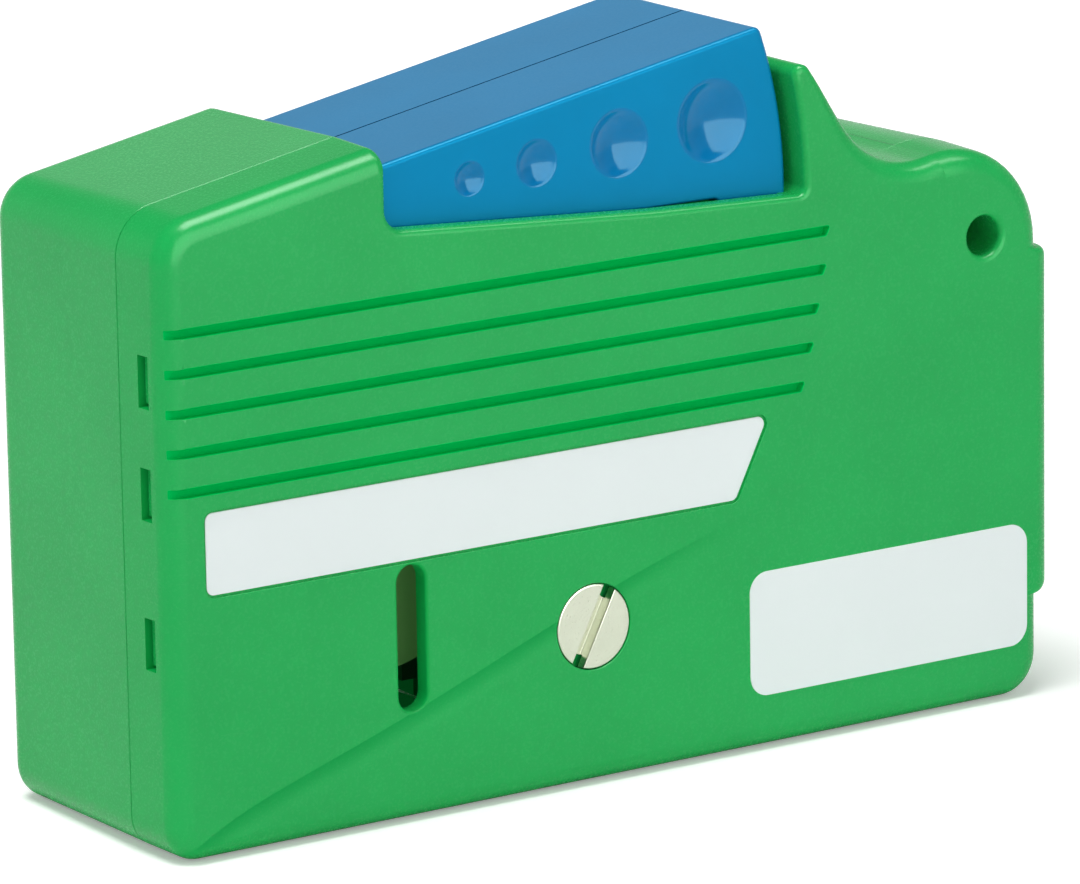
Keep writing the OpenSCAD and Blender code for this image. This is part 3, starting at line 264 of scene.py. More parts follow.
# Solid turned about the depth axis through centre, from a profile of (y, radius)
def lathe(name, centre, profile, count):
    rings = [np.insert(circle(centre, r, count)[0], 1, y, axis=1) for y, r in profile]
    return skin(name, inFrame(rings))


# Joins and cuts solids by exact booleans and keeps only the result
def carve(piece, add=(), cut=()):
    for operation, others in (("UNION", add), ("DIFFERENCE", cut)):
        for other in others:
            step = piece.modifiers.new(operation, "BOOLEAN")
            step.operation = operation
            step.solver = "EXACT"
            step.material_mode = "TRANSFER"
            step.object = other
    graph = bpy.context.evaluated_depsgraph_get()
    made = bpy.data.meshes.new_from_object(piece.evaluated_get(graph))
    piece.modifiers.clear()
    piece.data = made
    for other in list(add) + list(cut):
        bpy.data.objects.remove(other)
    return piece


# Smooth rounds beside flat faces: edges sharper than the angle stay sharp, the rest is weighted by face area
def smoothen(piece, angle=32.0, weight=60):
    piece.data.shade_smooth()
    piece.data.set_sharp_from_angle(angle=math.radians(angle))
    weighted = piece.modifiers.new("weighted", "WEIGHTED_NORMAL")
    weighted.keep_sharp = True
    weighted.weight = weight
    return piece


# Gives a finished piece its body, and hides the nodes it stands for. The slot is not used.
def dress(piece, body, slot, *replaced):
    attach(piece, body)
    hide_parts(*replaced)
    return piece


# Materials

# Adds a node. Its inputs, in order or by name, are values, sockets, or nodes whose first output is linked,
# and the keyword settings are its properties.
def addNode(tree, kind, inputs=(), **settings):
    node = tree.nodes.new(kind)
    for name, value in settings.items():
        setattr(node, name, value)
    for name, value in inputs.items() if isinstance(inputs, dict) else enumerate(inputs):
        value = value.outputs[0] if isinstance(value, bpy.types.Node) else value
        if isinstance(value, bpy.types.NodeSocket):
            tree.links.new(value, node.inputs[name])
        else:
            node.inputs[name].default_value = value
    return node


# A new material, its node tree, and a point's place in the frame, which its patterns follow
def newMaterial(name):
    material = bpy.data.materials.new(name)
    material.use_nodes = True
    tree = material.node_tree
    tree.nodes.clear()
    return material, tree, addNode(tree, "ShaderNodeTexCoord").outputs["Object"]


# Ends a material. Its base colour is the colour times the shade, and the other inputs are the shader's. A
# Mix node's sockets 6, 7 and 2 are its two colours and its result.
def finishMaterial(tree, colour, shade, inputs):
    base = addNode(tree, "ShaderNodeMix", {0: 1.0, 6: srgb(colour), 7: shade}, data_type="RGBA",
                   blend_type="MULTIPLY")
    shader = addNode(tree, "ShaderNodeBsdfPrincipled", {"Base Color": base.outputs[2], **inputs})
    addNode(tree, "ShaderNodeOutputMaterial", {"Surface": shader})


# What the noises share, and the span in which most of their values lie. A noise's scale is one over the
# size of its grains.
noise = {"Detail": 2.0, "Roughness": 0.55}
noiseSpan = (0.3, 0.7)


# Case coordinates x and z of a point, in mm, from its place in the frame
def caseXZ(tree, place):
    parts = addNode(tree, "ShaderNodeSeparateXYZ", [place]).outputs
    x = addNode(tree, "ShaderNodeMath", [parts["X"], float(caseCorner[0])], operation="SUBTRACT")
    x = addNode(tree, "ShaderNodeMath", [x, 1 / mm], operation="MULTIPLY")
    return x, addNode(tree, "ShaderNodeMath", [parts["Z"], 1 / mm], operation="MULTIPLY")


# Painted shade under the face's crease and on the round at its foot, both of which turn away from the
# bright front: the share of the tone and shine it takes away, most right under the crease, and none a
# valley's width below it. The curve node repeats the crease, as shares of the width and of bandHigh.
def paintedFaceShade(tree, place):
    c, wide = crease, case["wide"]
    x, z = caseXZ(tree, place)
    across = addNode(tree, "ShaderNodeMath", [x, wide], operation="DIVIDE")
    line = addNode(tree, "ShaderNodeFloatCurve", {"Value": across})
    curve = line.mapping.curves[0]
    places = np.linspace(0, wide, c["bandPoints"])
    for at, high in zip(places[1:-1], creaseHigh(places[1:-1])):
        curve.points.new(at / wide, high / c["bandHigh"])
    curve.points[0].location = (0.0, 0.0)
    curve.points[-1].location = (1.0, creaseHigh(places[-1]) / c["bandHigh"])
    line.mapping.update()
    high = addNode(tree, "ShaderNodeMath", [line, c["bandHigh"]], operation="MULTIPLY")
    above = addNode(tree, "ShaderNodeMath", [z, high], operation="SUBTRACT")
    near = addNode(tree, "ShaderNodeMapRange", [above, -c["wide"], 0.0, 0.0, 1.0])
    under = addNode(tree, "ShaderNodeMath", [near, c["bandPower"]], operation="POWER")
    fading = addNode(tree, "ShaderNodeMapRange", [x, *c["fade"], 1.0, 0.0], interpolation_type="SMOOTHSTEP")
    under = addNode(tree, "ShaderNodeMath", [under, fading], operation="MULTIPLY")
    edge = addNode(tree, "ShaderNodeMapRange", [above, -c["bandEdge"], c["bandEdge"], 1.0, 0.0])
    under = addNode(tree, "ShaderNodeMath", [under, edge], operation="MULTIPLY")
    footLow, footHigh, footShare = c["footBand"]
    foot = addNode(tree, "ShaderNodeMapRange", [z, footLow, footHigh, footShare, 0.0])
    return addNode(tree, "ShaderNodeMath", [under, foot], operation="MAXIMUM")


# What all plastics share: the size in mm and detail of the melt's flow, how much rougher the grain's low
# and high places are, and how much of the tone and shine a painted shade takes away
moulding = {"ior": 1.53, "flow": 16.0, "flowDetail": 3.0, "roughSpan": (-0.02, 0.03), "paintedShadeTone": 0.1,
            "paintedShadeShine": 0.9}


# Moulded plastic. The fine grain is the spark-eroded mould, which breaks up the shine, and is drawn coarser
# than it is so that it shows. The broad noise is the melt's flow, a faint change of tone. Polished places
# have less grain. The shine takes on some of the dye's colour, so that only glancing light looks white.
# The glow is painted light: the dye's own colour given off as light.
def plastic(name, colour, rough, texture=0.3, depth=0.001, shine=0.4, tone=0.04, tint=(1.0, 1.0, 1.0),
            glow=0.0, paintedShade=None):
    m = moulding
    material, tree, place = newMaterial(name)
    fine = addNode(tree, "ShaderNodeTexNoise", {**noise, "Vector": place, "Scale": 1 / (texture * mm)})
    flow = addNode(tree, "ShaderNodeTexNoise", {
        **noise, "Vector": place, "Scale": 1 / (m["flow"] * mm), "Detail": m["flowDetail"]
    })
    shade = addNode(tree, "ShaderNodeMapRange", [flow, *noiseSpan, 1 - tone, 1 + tone])
    bump = addNode(tree, "ShaderNodeBump", {"Height": fine, "Distance": depth * mm, "Strength": 1.0})
    # Painted shade: where given, the band darkens the tone and dims the shine
    if paintedShade:
        under = paintedShade(tree, place)
        darker = addNode(tree, "ShaderNodeMath", [under, m["paintedShadeTone"]], operation="MULTIPLY")
        shade = addNode(tree, "ShaderNodeMath", [shade, darker], operation="SUBTRACT")
        duller = addNode(tree, "ShaderNodeMath", [under, m["paintedShadeShine"]], operation="MULTIPLY")
        left = addNode(tree, "ShaderNodeMath", [1.0, duller], operation="SUBTRACT")
        shine = addNode(tree, "ShaderNodeMath", [shine, left], operation="MULTIPLY")
    smooth, coarse = [rough + change for change in m["roughSpan"]]
    roughness = addNode(tree, "ShaderNodeMapRange", [fine, *noiseSpan, smooth, coarse])
    finishMaterial(tree, colour, shade, {
        "Normal": bump, "IOR": m["ior"], "Roughness": roughness, "Specular IOR Level": shine,
        "Specular Tint": tint + (1.0,), "Emission Color": srgb(colour), "Emission Strength": glow
    })
    return material


# What all metals share: the grain's size, the height of the tool's marks as a share of the grain's, the
# depth of both, the size and darkest tone of the tarnish, and how much smoother and rougher their low and
# high places are
finish = {"grain": 0.12, "marksShare": 0.12, "depth": 0.004, "tarnish": 3.0, "darkest": 0.94,
          "roughShares": (0.8, 1.25)}


# Metal: a fine grain, a faint tarnish, and where it has a pitch in mm the marks of the tool that turned it,
# which are sine rings about the screw's axis and catch the light as a soft disc
def metal(name, colour, rough, pitch=0.0):
    m = finish
    material, tree, place = newMaterial(name)
    height = addNode(tree, "ShaderNodeTexNoise", {**noise, "Vector": place, "Scale": 1 / (m["grain"] * mm)})
    if pitch:
        squares = []
        for part, middle in zip(caseXZ(tree, place), inside["screw"]):
            off = addNode(tree, "ShaderNodeMath", [part, middle], operation="SUBTRACT")
            squares.append(addNode(tree, "ShaderNodeMath", [off, 2.0], operation="POWER"))
        square = addNode(tree, "ShaderNodeMath", squares, operation="ADD")
        radius = addNode(tree, "ShaderNodeMath", [square], operation="SQRT")
        turn = addNode(tree, "ShaderNodeMath", [radius, 2 * math.pi / pitch], operation="MULTIPLY")
        wave = addNode(tree, "ShaderNodeMath", [turn], operation="SINE")
        marks = addNode(tree, "ShaderNodeMath", [wave, m["marksShare"]], operation="MULTIPLY")
        height = addNode(tree, "ShaderNodeMath", [marks, height], operation="ADD")
    bump = addNode(tree, "ShaderNodeBump", {"Height": height, "Distance": m["depth"] * mm, "Strength": 1.0})
    tarnish = addNode(tree, "ShaderNodeTexNoise", {
        **noise, "Vector": place, "Scale": 1 / (m["tarnish"] * mm)
    })
    shade = addNode(tree, "ShaderNodeMapRange", [tarnish, *noiseSpan, m["darkest"], 1.0])
    smooth, coarse = [rough * share for share in m["roughShares"]]
    roughness = addNode(tree, "ShaderNodeMapRange", [height, 0.0, 1.0, smooth, coarse])
    finishMaterial(tree, colour, shade, {"Metallic": 1.0, "Roughness": roughness, "Normal": bump})
    return material


# What the cloths share: how deep the weave is, the span of its sines, the darkest tone of the painted shade
# in its gaps, and the fibres' shine
weaving = {"depth": 0.03, "strength": 0.8, "span": (-1.5, 2.0), "darkest": 0.8, "rough": 0.9, "sheen": 0.3,
           "shine": 0.2}


# Cloth: its height is the greater of the sines along x and y, plus the sine along z, all of the thread's
# pitch in mm. This lifts the threads and darkens the gaps with painted shade, and the loose fibres give the
# edge a pale sheen.
def cloth(name, colour, thread):
    w = weaving
    material, tree, place = newMaterial(name)
    waves = []
    for part in list(addNode(tree, "ShaderNodeSeparateXYZ", [place]).outputs):
        turn = addNode(tree, "ShaderNodeMath", [part, 2 * math.pi / (thread * mm)], operation="MULTIPLY")
        waves.append(addNode(tree, "ShaderNodeMath", [turn], operation="SINE"))
    highest = addNode(tree, "ShaderNodeMath", waves[:2], operation="MAXIMUM")
    weave = addNode(tree, "ShaderNodeMath", [highest, waves[2]], operation="ADD")
    bump = addNode(tree, "ShaderNodeBump", {
        "Height": weave, "Distance": w["depth"] * mm, "Strength": w["strength"]
    })
    # Painted shade: the low places of the weave are darker
    shade = addNode(tree, "ShaderNodeMapRange", [weave, *w["span"], w["darkest"], 1.0])
    finishMaterial(tree, colour, shade, {
        "Roughness": w["rough"], "Normal": bump, "Sheen Weight": w["sheen"], "Specular IOR Level": w["shine"]
    })
    return material


# What the finishes give the eye: the case is an even satin and the lever a little glossier, steel and brass
# are dull and fine grained, nickel has a soft round gleam, acetal and film are a quiet white, and the
# reels have a faint painted glow
looks = {
    "green_shell": plastic("green ABS, textured mould", "1CAC54", 0.26, shine=0.2, tint=(0.85, 1.0, 0.9)),
    "blue_lever": plastic("blue ABS, textured mould", "007CB0", 0.3, shine=0.46, tint=(0.02, 0.66, 0.95)),
    "steel": metal("steel, drawn", "C9CACC", 0.28),
    "nickel": metal("nickel plate, turned", "C6CAB8", 0.3, pitch=0.45),
    "brass": metal("brass, machined", "D3B15F", 0.3),
    "natural_acetal": plastic("natural acetal, moulded", "E6E6DE", 0.45, tone=0.02),
    "grey_plastic": plastic("grey ABS, moulded", "7C8084", 0.5),
    # The olive's glow is painted light
    "olive_plastic": plastic("olive ABS, moulded", "649A54", 0.5, glow=0.12),
    "door_plastic": plastic("smoke grey ABS, moulded", "9A9EA2", 0.35),
    "cleaning_cloth": cloth("microfibre tape, woven", "EEF0F2", 0.3),
    "felt": cloth("felt, pressed", "5A5A5E", 0.7),
    "pad_rubber": plastic("rubber, moulded", "3A3A3C", 0.75, tone=0.03),
    "label_film": plastic("polyester film, satin", "E6EEEE", 0.5, texture=1.2, depth=0.002, shine=0.3,
                          tone=0.01),
}
# Finishes of single faces: the face with its crease and its painted shade, polished dishes, the faces of the
# lever's seam in painted shade, and the grooves and the walls behind openings in painted shade and glow
# The face's green carries painted shade under the crease and on the round at its foot
coverGreen = plastic("green ABS, textured mould, face", "1CAC54", 0.26, shine=0.2, tint=(0.85, 1.0, 0.9),
                     paintedShade=paintedFaceShade)
dishBlue = plastic("blue ABS, polished dish", "007AB4", 0.12, depth=0.0004, shine=0.34, tint=(0.5, 0.9, 1.0))
matingBlue = plastic("blue ABS, mating face in the seam's shade", "003A5E", 0.6, shine=0.0)
# Grooves and inner walls: copies of the green whose tone and shine are painted shade, with a painted glow
grooveGreen = plastic("green ABS, groove of the mould", "00B855", 0.4, shine=0.0, glow=0.08)
innerGreen = plastic("green ABS, inner wall", "08A048", 0.5, shine=0.1, glow=0.08)
slotOf = {part["node"]: part["material_slot"] for part in frame["record"]["subparts"]}
for name, node in nodes.items():
    node.data.materials.clear()
    node.data.materials.append(looks[slotOf[name]])
print("stage: materials made")


# Case

# Unit vector (cos a, sin a) at the angle a from x towards z
def pointing(degrees):
    return np.array([math.cos(math.radians(degrees)), math.sin(math.radians(degrees))])


# Height of the roof on the left: leftHigh + x tan(roofSlope)
def roofHigh(x):
    return case["leftHigh"] + x * math.tan(math.radians(case["roofSlope"]))


# Outline of the case from the front. The hump and the valley beside it are two arcs that touch at humpTurn.
# The flank leaves the valley at valleyTurn and rises straight to the horn, whose inner side is the end of
# the bay, an arc about the lever's pivot. The sill is bent once, and the roof slopes up from the left wall
# to the bay.
def caseOutline():
    c = case
    pivot = lever["pivot"]
    bayReach = lever["reach"] + lever["endGap"]
    hump = np.array([c["wide"] - c["humpRadius"], c["humpHigh"]])
    humpTop = hump + c["humpRadius"] * pointing(c["humpTurn"])
    along = pointing(c["humpTurn"] + 90)
    humpCorner = humpTop + along * (c["wide"] - humpTop[0]) / along[0]
    valley = hump + (c["humpRadius"] + c["valleyRadius"]) * pointing(c["humpTurn"])
    flankStart = valley + c["valleyRadius"] * pointing(c["valleyTurn"])
    flank = pointing(c["valleyTurn"] + 90)
    gap = flankStart - humpTop
    valleyCorner = humpTop + along * (gap[0] * flank[1] - gap[1] * flank[0]) / (
        along[0] * flank[1] - along[1] * flank[0])
    outerX = flankStart[0] + (c["hornHigh"] - flankStart[1]) * flank[0] / flank[1]
    innerX = pivot[0] + math.sqrt(bayReach ** 2 - (c["hornHigh"] - pivot[1]) ** 2)
    topTurn = math.degrees(math.asin((c["hornHigh"] - pivot[1]) / bayReach))
    lowTurn = math.degrees(math.asin((c["sillRight"] - pivot[1]) / bayReach))
    midX = (c["bayLeft"] + pivot[0] + bayReach) / 2 + c["bayLeft"] * c["bendShare"]
    endTurns = topTurn - c["arcTrim"][0], lowTurn + c["arcTrim"][1]
    outer = (c["frontEdge"], c["rearEdge"], c["draw"])
    horn = (c["hornEdge"], c["hornEdge"], 0.0)
    bay = (c["bayEdge"], c["bayEdge"], 0.0)
    return roundOutline([
        (0, 0, c["foot"]) + outer,
        (c["wide"], 0, c["toe"]) + outer,
        (c["wide"], c["padLow"], c["nook"]) + outer,
        (c["wide"] + c["padOut"], c["padLow"], c["padCorner"]) + outer,
        (c["wide"] + c["padOut"], c["padHigh"], c["padCorner"]) + outer,
        (c["wide"], c["padHigh"], c["nook"]) + outer,
        (humpCorner[0], humpCorner[1], c["humpRadius"]) + outer,
        (valleyCorner[0], valleyCorner[1], c["valleyRadius"], c["valleyEdge"], c["valleyEdge"], 0.0),
        (outerX, c["hornHigh"] - c["hornSlope"] * (outerX - innerX), c["hornTip"]) + horn,
        (innerX, c["hornHigh"], c["hornTip"]) + horn,
        *arcCorners(pivot, bayReach, *endTurns, c["arcPoints"], *bay),
        (pivot[0] + bayReach, c["sillRight"], c["bayFoot"]) + bay,
        (midX, c["sillMid"], c["sillBend"]) + bay,
        (c["bayLeft"], c["sillLeft"], c["sillCorner"]) + bay,
        (c["bayLeft"], roofHigh(c["bayLeft"]), c["bayCorner"]) + outer,
        (0, c["leftHigh"], c["shoulder"]) + outer,
    ])


# One shell of the case. Where the front or rear edge of radius r is rounded by the angle a, its ring lies r
# (1 - cos a) behind the face and r (1 - sin a) inside the outline. Behind the seam the walls lean in by
# draw (y - seam) / (rear - seam), in front of it by coverLean draw (seam - y) / seam, but the base stays
# flat. The pad's ends are drawn in along x alone. The bay's left wall, whose own edge e is small, keeps its
# place: it is drawn in by e - √(e² - (e - y)²) along x, and down by share r (1 - sin a), where r is the
# roof's edge and the share eases from 0 at the wall's foot to 1 at its top.
def shell(name, outline, stations):
    points, outward, values = outline
    c = case
    inward = -outward
    padMiddle, padHalf = (c["padLow"] + c["padHigh"]) / 2, (c["padHigh"] - c["padLow"]) / 2
    onPad = (points[:, 0] > c["wide"] - c["padZone"][0]) & (
        np.abs(points[:, 1] - padMiddle) < padHalf + c["padZone"][1])
    inward[onPad] = (-1.0, 0.0)
    leaning = np.stack([outward[:, 0], np.maximum(outward[:, 1], 0)], axis=1)
    bay = (np.abs(points[:, 0] - c["bayLeft"]) < c["bayZoneShare"] * c["bayCorner"]) & (
        points[:, 1] > c["sillLeft"] + c["sillCorner"] - touch)
    leaning[bay] = (0.0, 1.0)
    share = (values[:, 0] - c["bayEdge"]) / (c["frontEdge"] - c["bayEdge"])
    rings = []
    for kind, amount in stations:
        if kind == "at":
            y, inset = np.full(len(points), amount[0]), np.full(len(points), amount[1])
        else:
            r = values[:, 0 if kind == "front" else 1]
            y, inset = r * (1 - math.cos(amount)), r * (1 - math.sin(amount))
        flat = points + inward * inset[:, None]
        if kind != "at":
            e = c["bayEdge"]
            across = outward[bay, 0] * (e - np.sqrt(e * e - np.maximum(e - y[bay], 0) ** 2))
            down = share[bay] * c[kind + "Edge"] * (1 - math.sin(amount))
            flat[bay] = points[bay] - np.stack([across, down], axis=1)
            y = y if kind == "front" else c["deep"] - y
        lean = np.clip((y - c["coverDeep"]) / (c["deep"] - c["coverDeep"]), 0, 1)
        lean = values[:, 2] * (lean + c["coverLean"] * np.clip(1 - y / c["coverDeep"], 0, 1))
        flat = flat - leaning * lean[:, None]
        rings.append(np.stack([flat[:, 0], y, flat[:, 1]], axis=1))
    return skin(name, inFrame(rings))


# Room inside the walls, the throat for the lever through the sill, and the room round the lever's nose. The
# room's outline follows the case's, one wall further in.
def roomCutters(y0, roomEnd, throatEnd):
    c, s, v = case, inside, lever
    w = c["wall"]
    humpX, humpIn = c["wide"] - c["humpRadius"], c["humpRadius"] - w
    underRoof = c["bayLeft"] - w
    outline = roundOutline([
        (w, w, c["foot"] - w), (c["wide"] - w, w, c["toe"] - w),
        (c["wide"] - w, c["humpHigh"] + humpIn, humpIn * s["humpRoomShare"]),
        (humpX - w, c["humpHigh"] + humpIn, 0), (humpX - s["humpRoomWalls"] * w, s["roomTop"], 0),
        (underRoof, s["roomTop"], 0), (underRoof, roofHigh(underRoof) - w - s["roofGap"], s["roomCorner"]),
        (w, roofHigh(w) - w - s["roofGap"], c["shoulder"] - w)
    ], unbroken)
    throat = block((c["bayLeft"] + s["throatFrom"], c["bayLeft"] + v["reach"]), (y0, throatEnd),
                   (s["roomTop"] - overrun, s["throatHigh"]))
    room = loft("room", outline, [(y0, 0), (roomEnd, 0)])
    room.data.materials.append(innerGreen)
    return [room, throat, bar(v["pivot"], v["nose"] + 2 * v["gap"], y0, throatEnd)]


# Middle of a node of the frame, as (x, z) in case coordinates
def centreOf(node):
    middle = (np.array(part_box(node)[0]) + np.array(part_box(node)[1])) / 2
    middle = (middle - caseCorner) / mm
    return middle[0], middle[2]


takeUp = centreOf("used_tape_winding")
stopPin = centreOf("stop_pawl_pin")

# What is cut into the face, and the snaps on the left wall. Each groove's end is moved back by its share of
# the pitch, and the snaps' heights are shares of the left wall's.
face = {
    "grooveWide": 1.05, "grooveDeep": 0.9, "grooveTop": 58.6, "groovePitch": 4.35, "grooveFrom": -4.0,
    "grooveEnd": 87.5, "grooveBackShares": (0, 0.12, 0.34, 0.54, 0.84), "grooveSlant": 0.25,
    "grooveCorner": 0.2, "grooveLip": 0.12, "grooveFoot": 0.15,
    "slotX": 31.0, "slotWide": 3.7, "slotLow": 12.4, "slotHigh": 28.9, "slotLip": 0.35,
    "slotRoundShare": 0.999, "cord": (109.6, 55.0), "cordRadius": 2.3, "cordLip": 0.8, "cordTube": 4.3,
    "snapWide": 5.8, "snapFrom": 3.1, "snapDeep": 2.0, "snapHighShares": (0.755, 0.579, 0.343),
    "tongueWide": 5.0, "tongueThick": 1.3, "tongueSunk": 0.4, "tongueFoot": 0.3, "tongueGap": 0.15,
    "hookThick": 1.2,
}

# Labels: a blank plate in a recess, and a blank sticker on the face. The recess is wider than the plate by
# its own depth all round. The film's edge eases off by (depth, inset).
labels = {
    "plate": (5.0, 29.5), "plateWide": 69.5, "plateHigh": 9.1, "plateSlant": 4.6, "plateCorner": 0.9,
    "recess": 0.3, "recessLip": 0.06, "film": 0.14, "filmEdge": ((0.0, 0.04), (0.02, 0.01), (0.05, 0.0)),
    "filmSmooth": 50.0, "stickerRight": 115.4, "stickerLow": 6.3, "stickerWide": 39.2, "stickerHigh": 14.4,
    "stickerCorner": 2.4,
}


# Outline of a groove, which lies order pitches below the top one. Its end slants by the share grooveSlant of
# its width either way.
def grooveOutline(order):
    f = face
    z = f["grooveTop"] - order * f["groovePitch"]
    end = f["grooveEnd"] - f["groovePitch"] * f["grooveBackShares"][order]
    half, skew = f["grooveWide"] / 2, f["grooveWide"] * f["grooveSlant"]
    return roundOutline([
        (f["grooveFrom"], z - half, 0), (end - skew, z - half, f["grooveCorner"]),
        (end + skew, z + half, f["grooveCorner"]), (f["grooveFrom"], z + half, 0)
    ], unbroken)


# The plate's outline, moved outwards by grow. Its right end slants out by plateSlant over its height.
def plateOutline(grow):
    a = labels
    x, z = a["plate"]
    high, wide = a["plateHigh"], a["plateWide"]
    corners = [(x, z), (x + wide, z), (x + wide + a["plateSlant"], z + high), (x, z + high)]
    outline = roundOutline([corner + (a["plateCorner"],) for corner in corners])
    return outline[0] + outline[1] * grow, outline[1]


# Outline of the view slot: a bar about slotX whose corners are as round as its half width
def slotOutline():
    f = face
    r = f["slotWide"] / 2
    left, right, soft = f["slotX"] - r, f["slotX"] + r, r * f["slotRoundShare"]
    return roundOutline([
        (left, f["slotLow"], soft), (right, f["slotLow"], soft),
        (right, f["slotHigh"], soft), (left, f["slotHigh"], soft)
    ], unbroken)


# Front half of the case, from the face to the seam: the shell less the room inside, with bosses added, and
# with grooves, holes and snap windows cut
def frontCover(outline):
    f, s, w = face, inside, case["wall"]
    seamY = case["coverDeep"] - case["seamGap"]
    rounds = [("front", a) for a in np.linspace(0, math.pi / 2, case["edgeRings"])]
    piece = shell("front_cover_shell", outline, rounds + [
        ("at", (seamY - case["seam"], 0.0)), ("at", (seamY, case["seam"]))
    ])
    piece.data.materials.append(coverGreen)
    carve(piece, cut=roomCutters(w, seamY + overrun, seamY + overrun))
    bosses = [
        bar(s["screw"], s["coverBoss"], w - s["overlap"], s["bossEnd"]),
        bar(f["cord"], f["cordTube"], w - s["overlap"], seamY),
        bar(s["supply"], s["boss"], w - s["overlap"], s["coverBossEnd"]),
        bar(takeUp, s["boss"], w - s["overlap"], s["coverBossEnd"]),
    ]
    channel = pocket(f["grooveDeep"], f["grooveLip"], f["grooveFoot"])
    grooves = [loft("groove", grooveOutline(order), channel) for order in range(len(f["grooveBackShares"]))]
    for groove in grooves:
        groove.data.materials.append(grooveGreen)
    viewSlot = loft("view slot", slotOutline(), pocket(w + s["overlap"], f["slotLip"]))
    viewSlot.data.materials.append(innerGreen)
    cordHole = loft("cord hole", circle(f["cord"], f["cordRadius"], sides["hole"]),
                    pocket(seamY + overrun, f["cordLip"]))
    holes = [
        creaseValley(),
        loft("seat", circle(s["screw"], s["headRadius"], sides["seat"]), pocket(s["headDeep"], s["seatLip"])),
        bar(s["screw"], s["shank"], s["overlap"], s["bossEnd"] + overrun),
        cordHole, viewSlot,
        loft("recess", plateOutline(labels["recess"]), pocket(labels["recess"], labels["recessLip"])),
        bar(s["supply"], s["axle"], w, case["coverDeep"]),
        bar(takeUp, s["axle"], w, case["coverDeep"]),
        bar(lever["pivot"], lever["pin"], s["pinFrom"], w + s["overlap"]),
    ]
    snaps = []
    for share in f["snapHighShares"]:
        z = case["leftHigh"] * share
        snaps.append(block((-overrun, w + overrun), (f["snapFrom"], f["snapFrom"] + f["snapDeep"]),
                           (z - f["snapWide"] / 2, z + f["snapWide"] / 2)))
        snaps[-1].data.materials.append(innerGreen)
    carve(piece, add=bosses, cut=grooves + holes + snaps)
    smoothen(piece)
    return dress(piece, "case", "green_shell", "front_cover")


# Window in the base for the connector, the strip of base round it, and the rail beside its shutter
window = {"x": (58.0, 78.0), "y": (10.4, 21.0), "strip": (54.0, 106.0), "stripTo": 23.0, "stripHigh": 2.6,
          "railTo": 10.1, "railRight": 82.0, "railHigh": 3.7}


# Rear half of the case, from the seam to the rear face: the shell less the room inside, with posts, bosses
# and tongues added, and with their bores, the lanyard hole and the window cut
def rearShell(outline):
    f, s, w = face, inside, case["wall"]
    seamY, back = case["coverDeep"], inside["rearWall"] + inside["overlap"]
    rounds = [("rear", a) for a in np.linspace(math.pi / 2, 0, case["edgeRings"])]
    piece = shell("rear_shell_body", outline, [
        ("at", (seamY, case["seam"])), ("at", (seamY + case["seam"], 0.0))
    ] + rounds)
    piece.data.materials.append(looks["green_shell"])
    carve(piece, cut=roomCutters(seamY - overrun, s["rearWall"], s["throatTo"]))
    base, springTop = w - s["sunk"], s["springHigh"][1]
    railWay = (window["strip"][0], window["railRight"])
    posts = [
        bar(s["screw"], s["post"], s["postFrom"], s["postTo"]),
        bar(s["screw"], s["slimPost"], s["postFrom"] + overrun, back),
        bar(s["supply"], s["boss"], s["supplyBossFrom"], back),
        bar(takeUp, s["boss"], s["takeUpBossFrom"], back),
        bar(lever["pivot"], lever["nose"], s["pivotBossFrom"], back),
        bar(stopPin, s["stopPost"], s["stopFrom"], back),
        bar(f["cord"], f["cordTube"], seamY, back),
        *[bar(post, s["slimPost"], s["framePostFrom"], back) for post in s["framePosts"]],
        block(window["strip"], (seamY, window["stripTo"]), (base, window["stripHigh"])),
        block(railWay, (seamY, window["railTo"]), (base, window["railHigh"])),
        block((s["spring"][0] - s["springSeat"], s["spring"][0] + s["springSeat"]),
              (s["postFrom"], s["spring"][1] + s["springSeat"]), s["springHigh"]),
        upright(s["spring"], s["spigot"][0], springTop - s["sunk"], springTop + s["spigot"][1]),
    ]
    half, thick = f["tongueWide"] / 2, f["tongueThick"]
    inner = w + f["tongueGap"]
    hook = (f["snapFrom"] + f["tongueGap"], f["snapFrom"] + f["snapDeep"] - f["tongueGap"])
    foot = (seamY + f["tongueFoot"], seamY + w)
    for share in f["snapHighShares"]:
        high = (case["leftHigh"] * share - half, case["leftHigh"] * share + half)
        posts.append(block((inner, inner + thick), (f["snapFrom"], seamY + w), high))
        posts.append(block((inner - f["hookThick"], inner + s["overlap"]), hook, high))
        posts.append(block((w - f["tongueSunk"], inner + thick), foot, high))
    tightAxle, tightPin = s["axle"] - s["press"], lever["pin"] - s["press"]
    throughRear = fromRear(pocket(case["deep"] - seamY - overrun, f["cordLip"])[:-1])
    cordHole = loft("cord hole", circle(f["cord"], f["cordRadius"], sides["hole"]),
                    [(seamY - overrun, 0)] + throughRear)
    screwWay = (s["framePostFrom"] - overrun, s["frameScrewTo"])
    holes = [
        bar(s["screw"], s["insert"], s["postFrom"] - overrun, s["insertTo"]),
        bar(s["screw"], s["shank"], s["postFrom"] - overrun, s["insertTo"] + s["overlap"]),
        bar(s["supply"], tightAxle, s["supplyBossFrom"] - overrun, s["pinTo"]),
        bar(takeUp, tightAxle, s["takeUpBossFrom"] - overrun, s["pinTo"]),
        bar(lever["pivot"], tightPin, lever["back"], s["pinTo"]),
        bar(stopPin, s["stopPin"], s["stopFrom"] - overrun, s["pinTo"]),
        *[bar(post, s["frameScrew"], *screwWay) for post in s["framePosts"]],
        cordHole,
        block(window["x"], window["y"], (-overrun, window["stripHigh"] + overrun)),
    ]
    carve(piece, add=posts, cut=holes)
    smoothen(piece)
    return dress(piece, "case", "green_shell", "rear_shell")


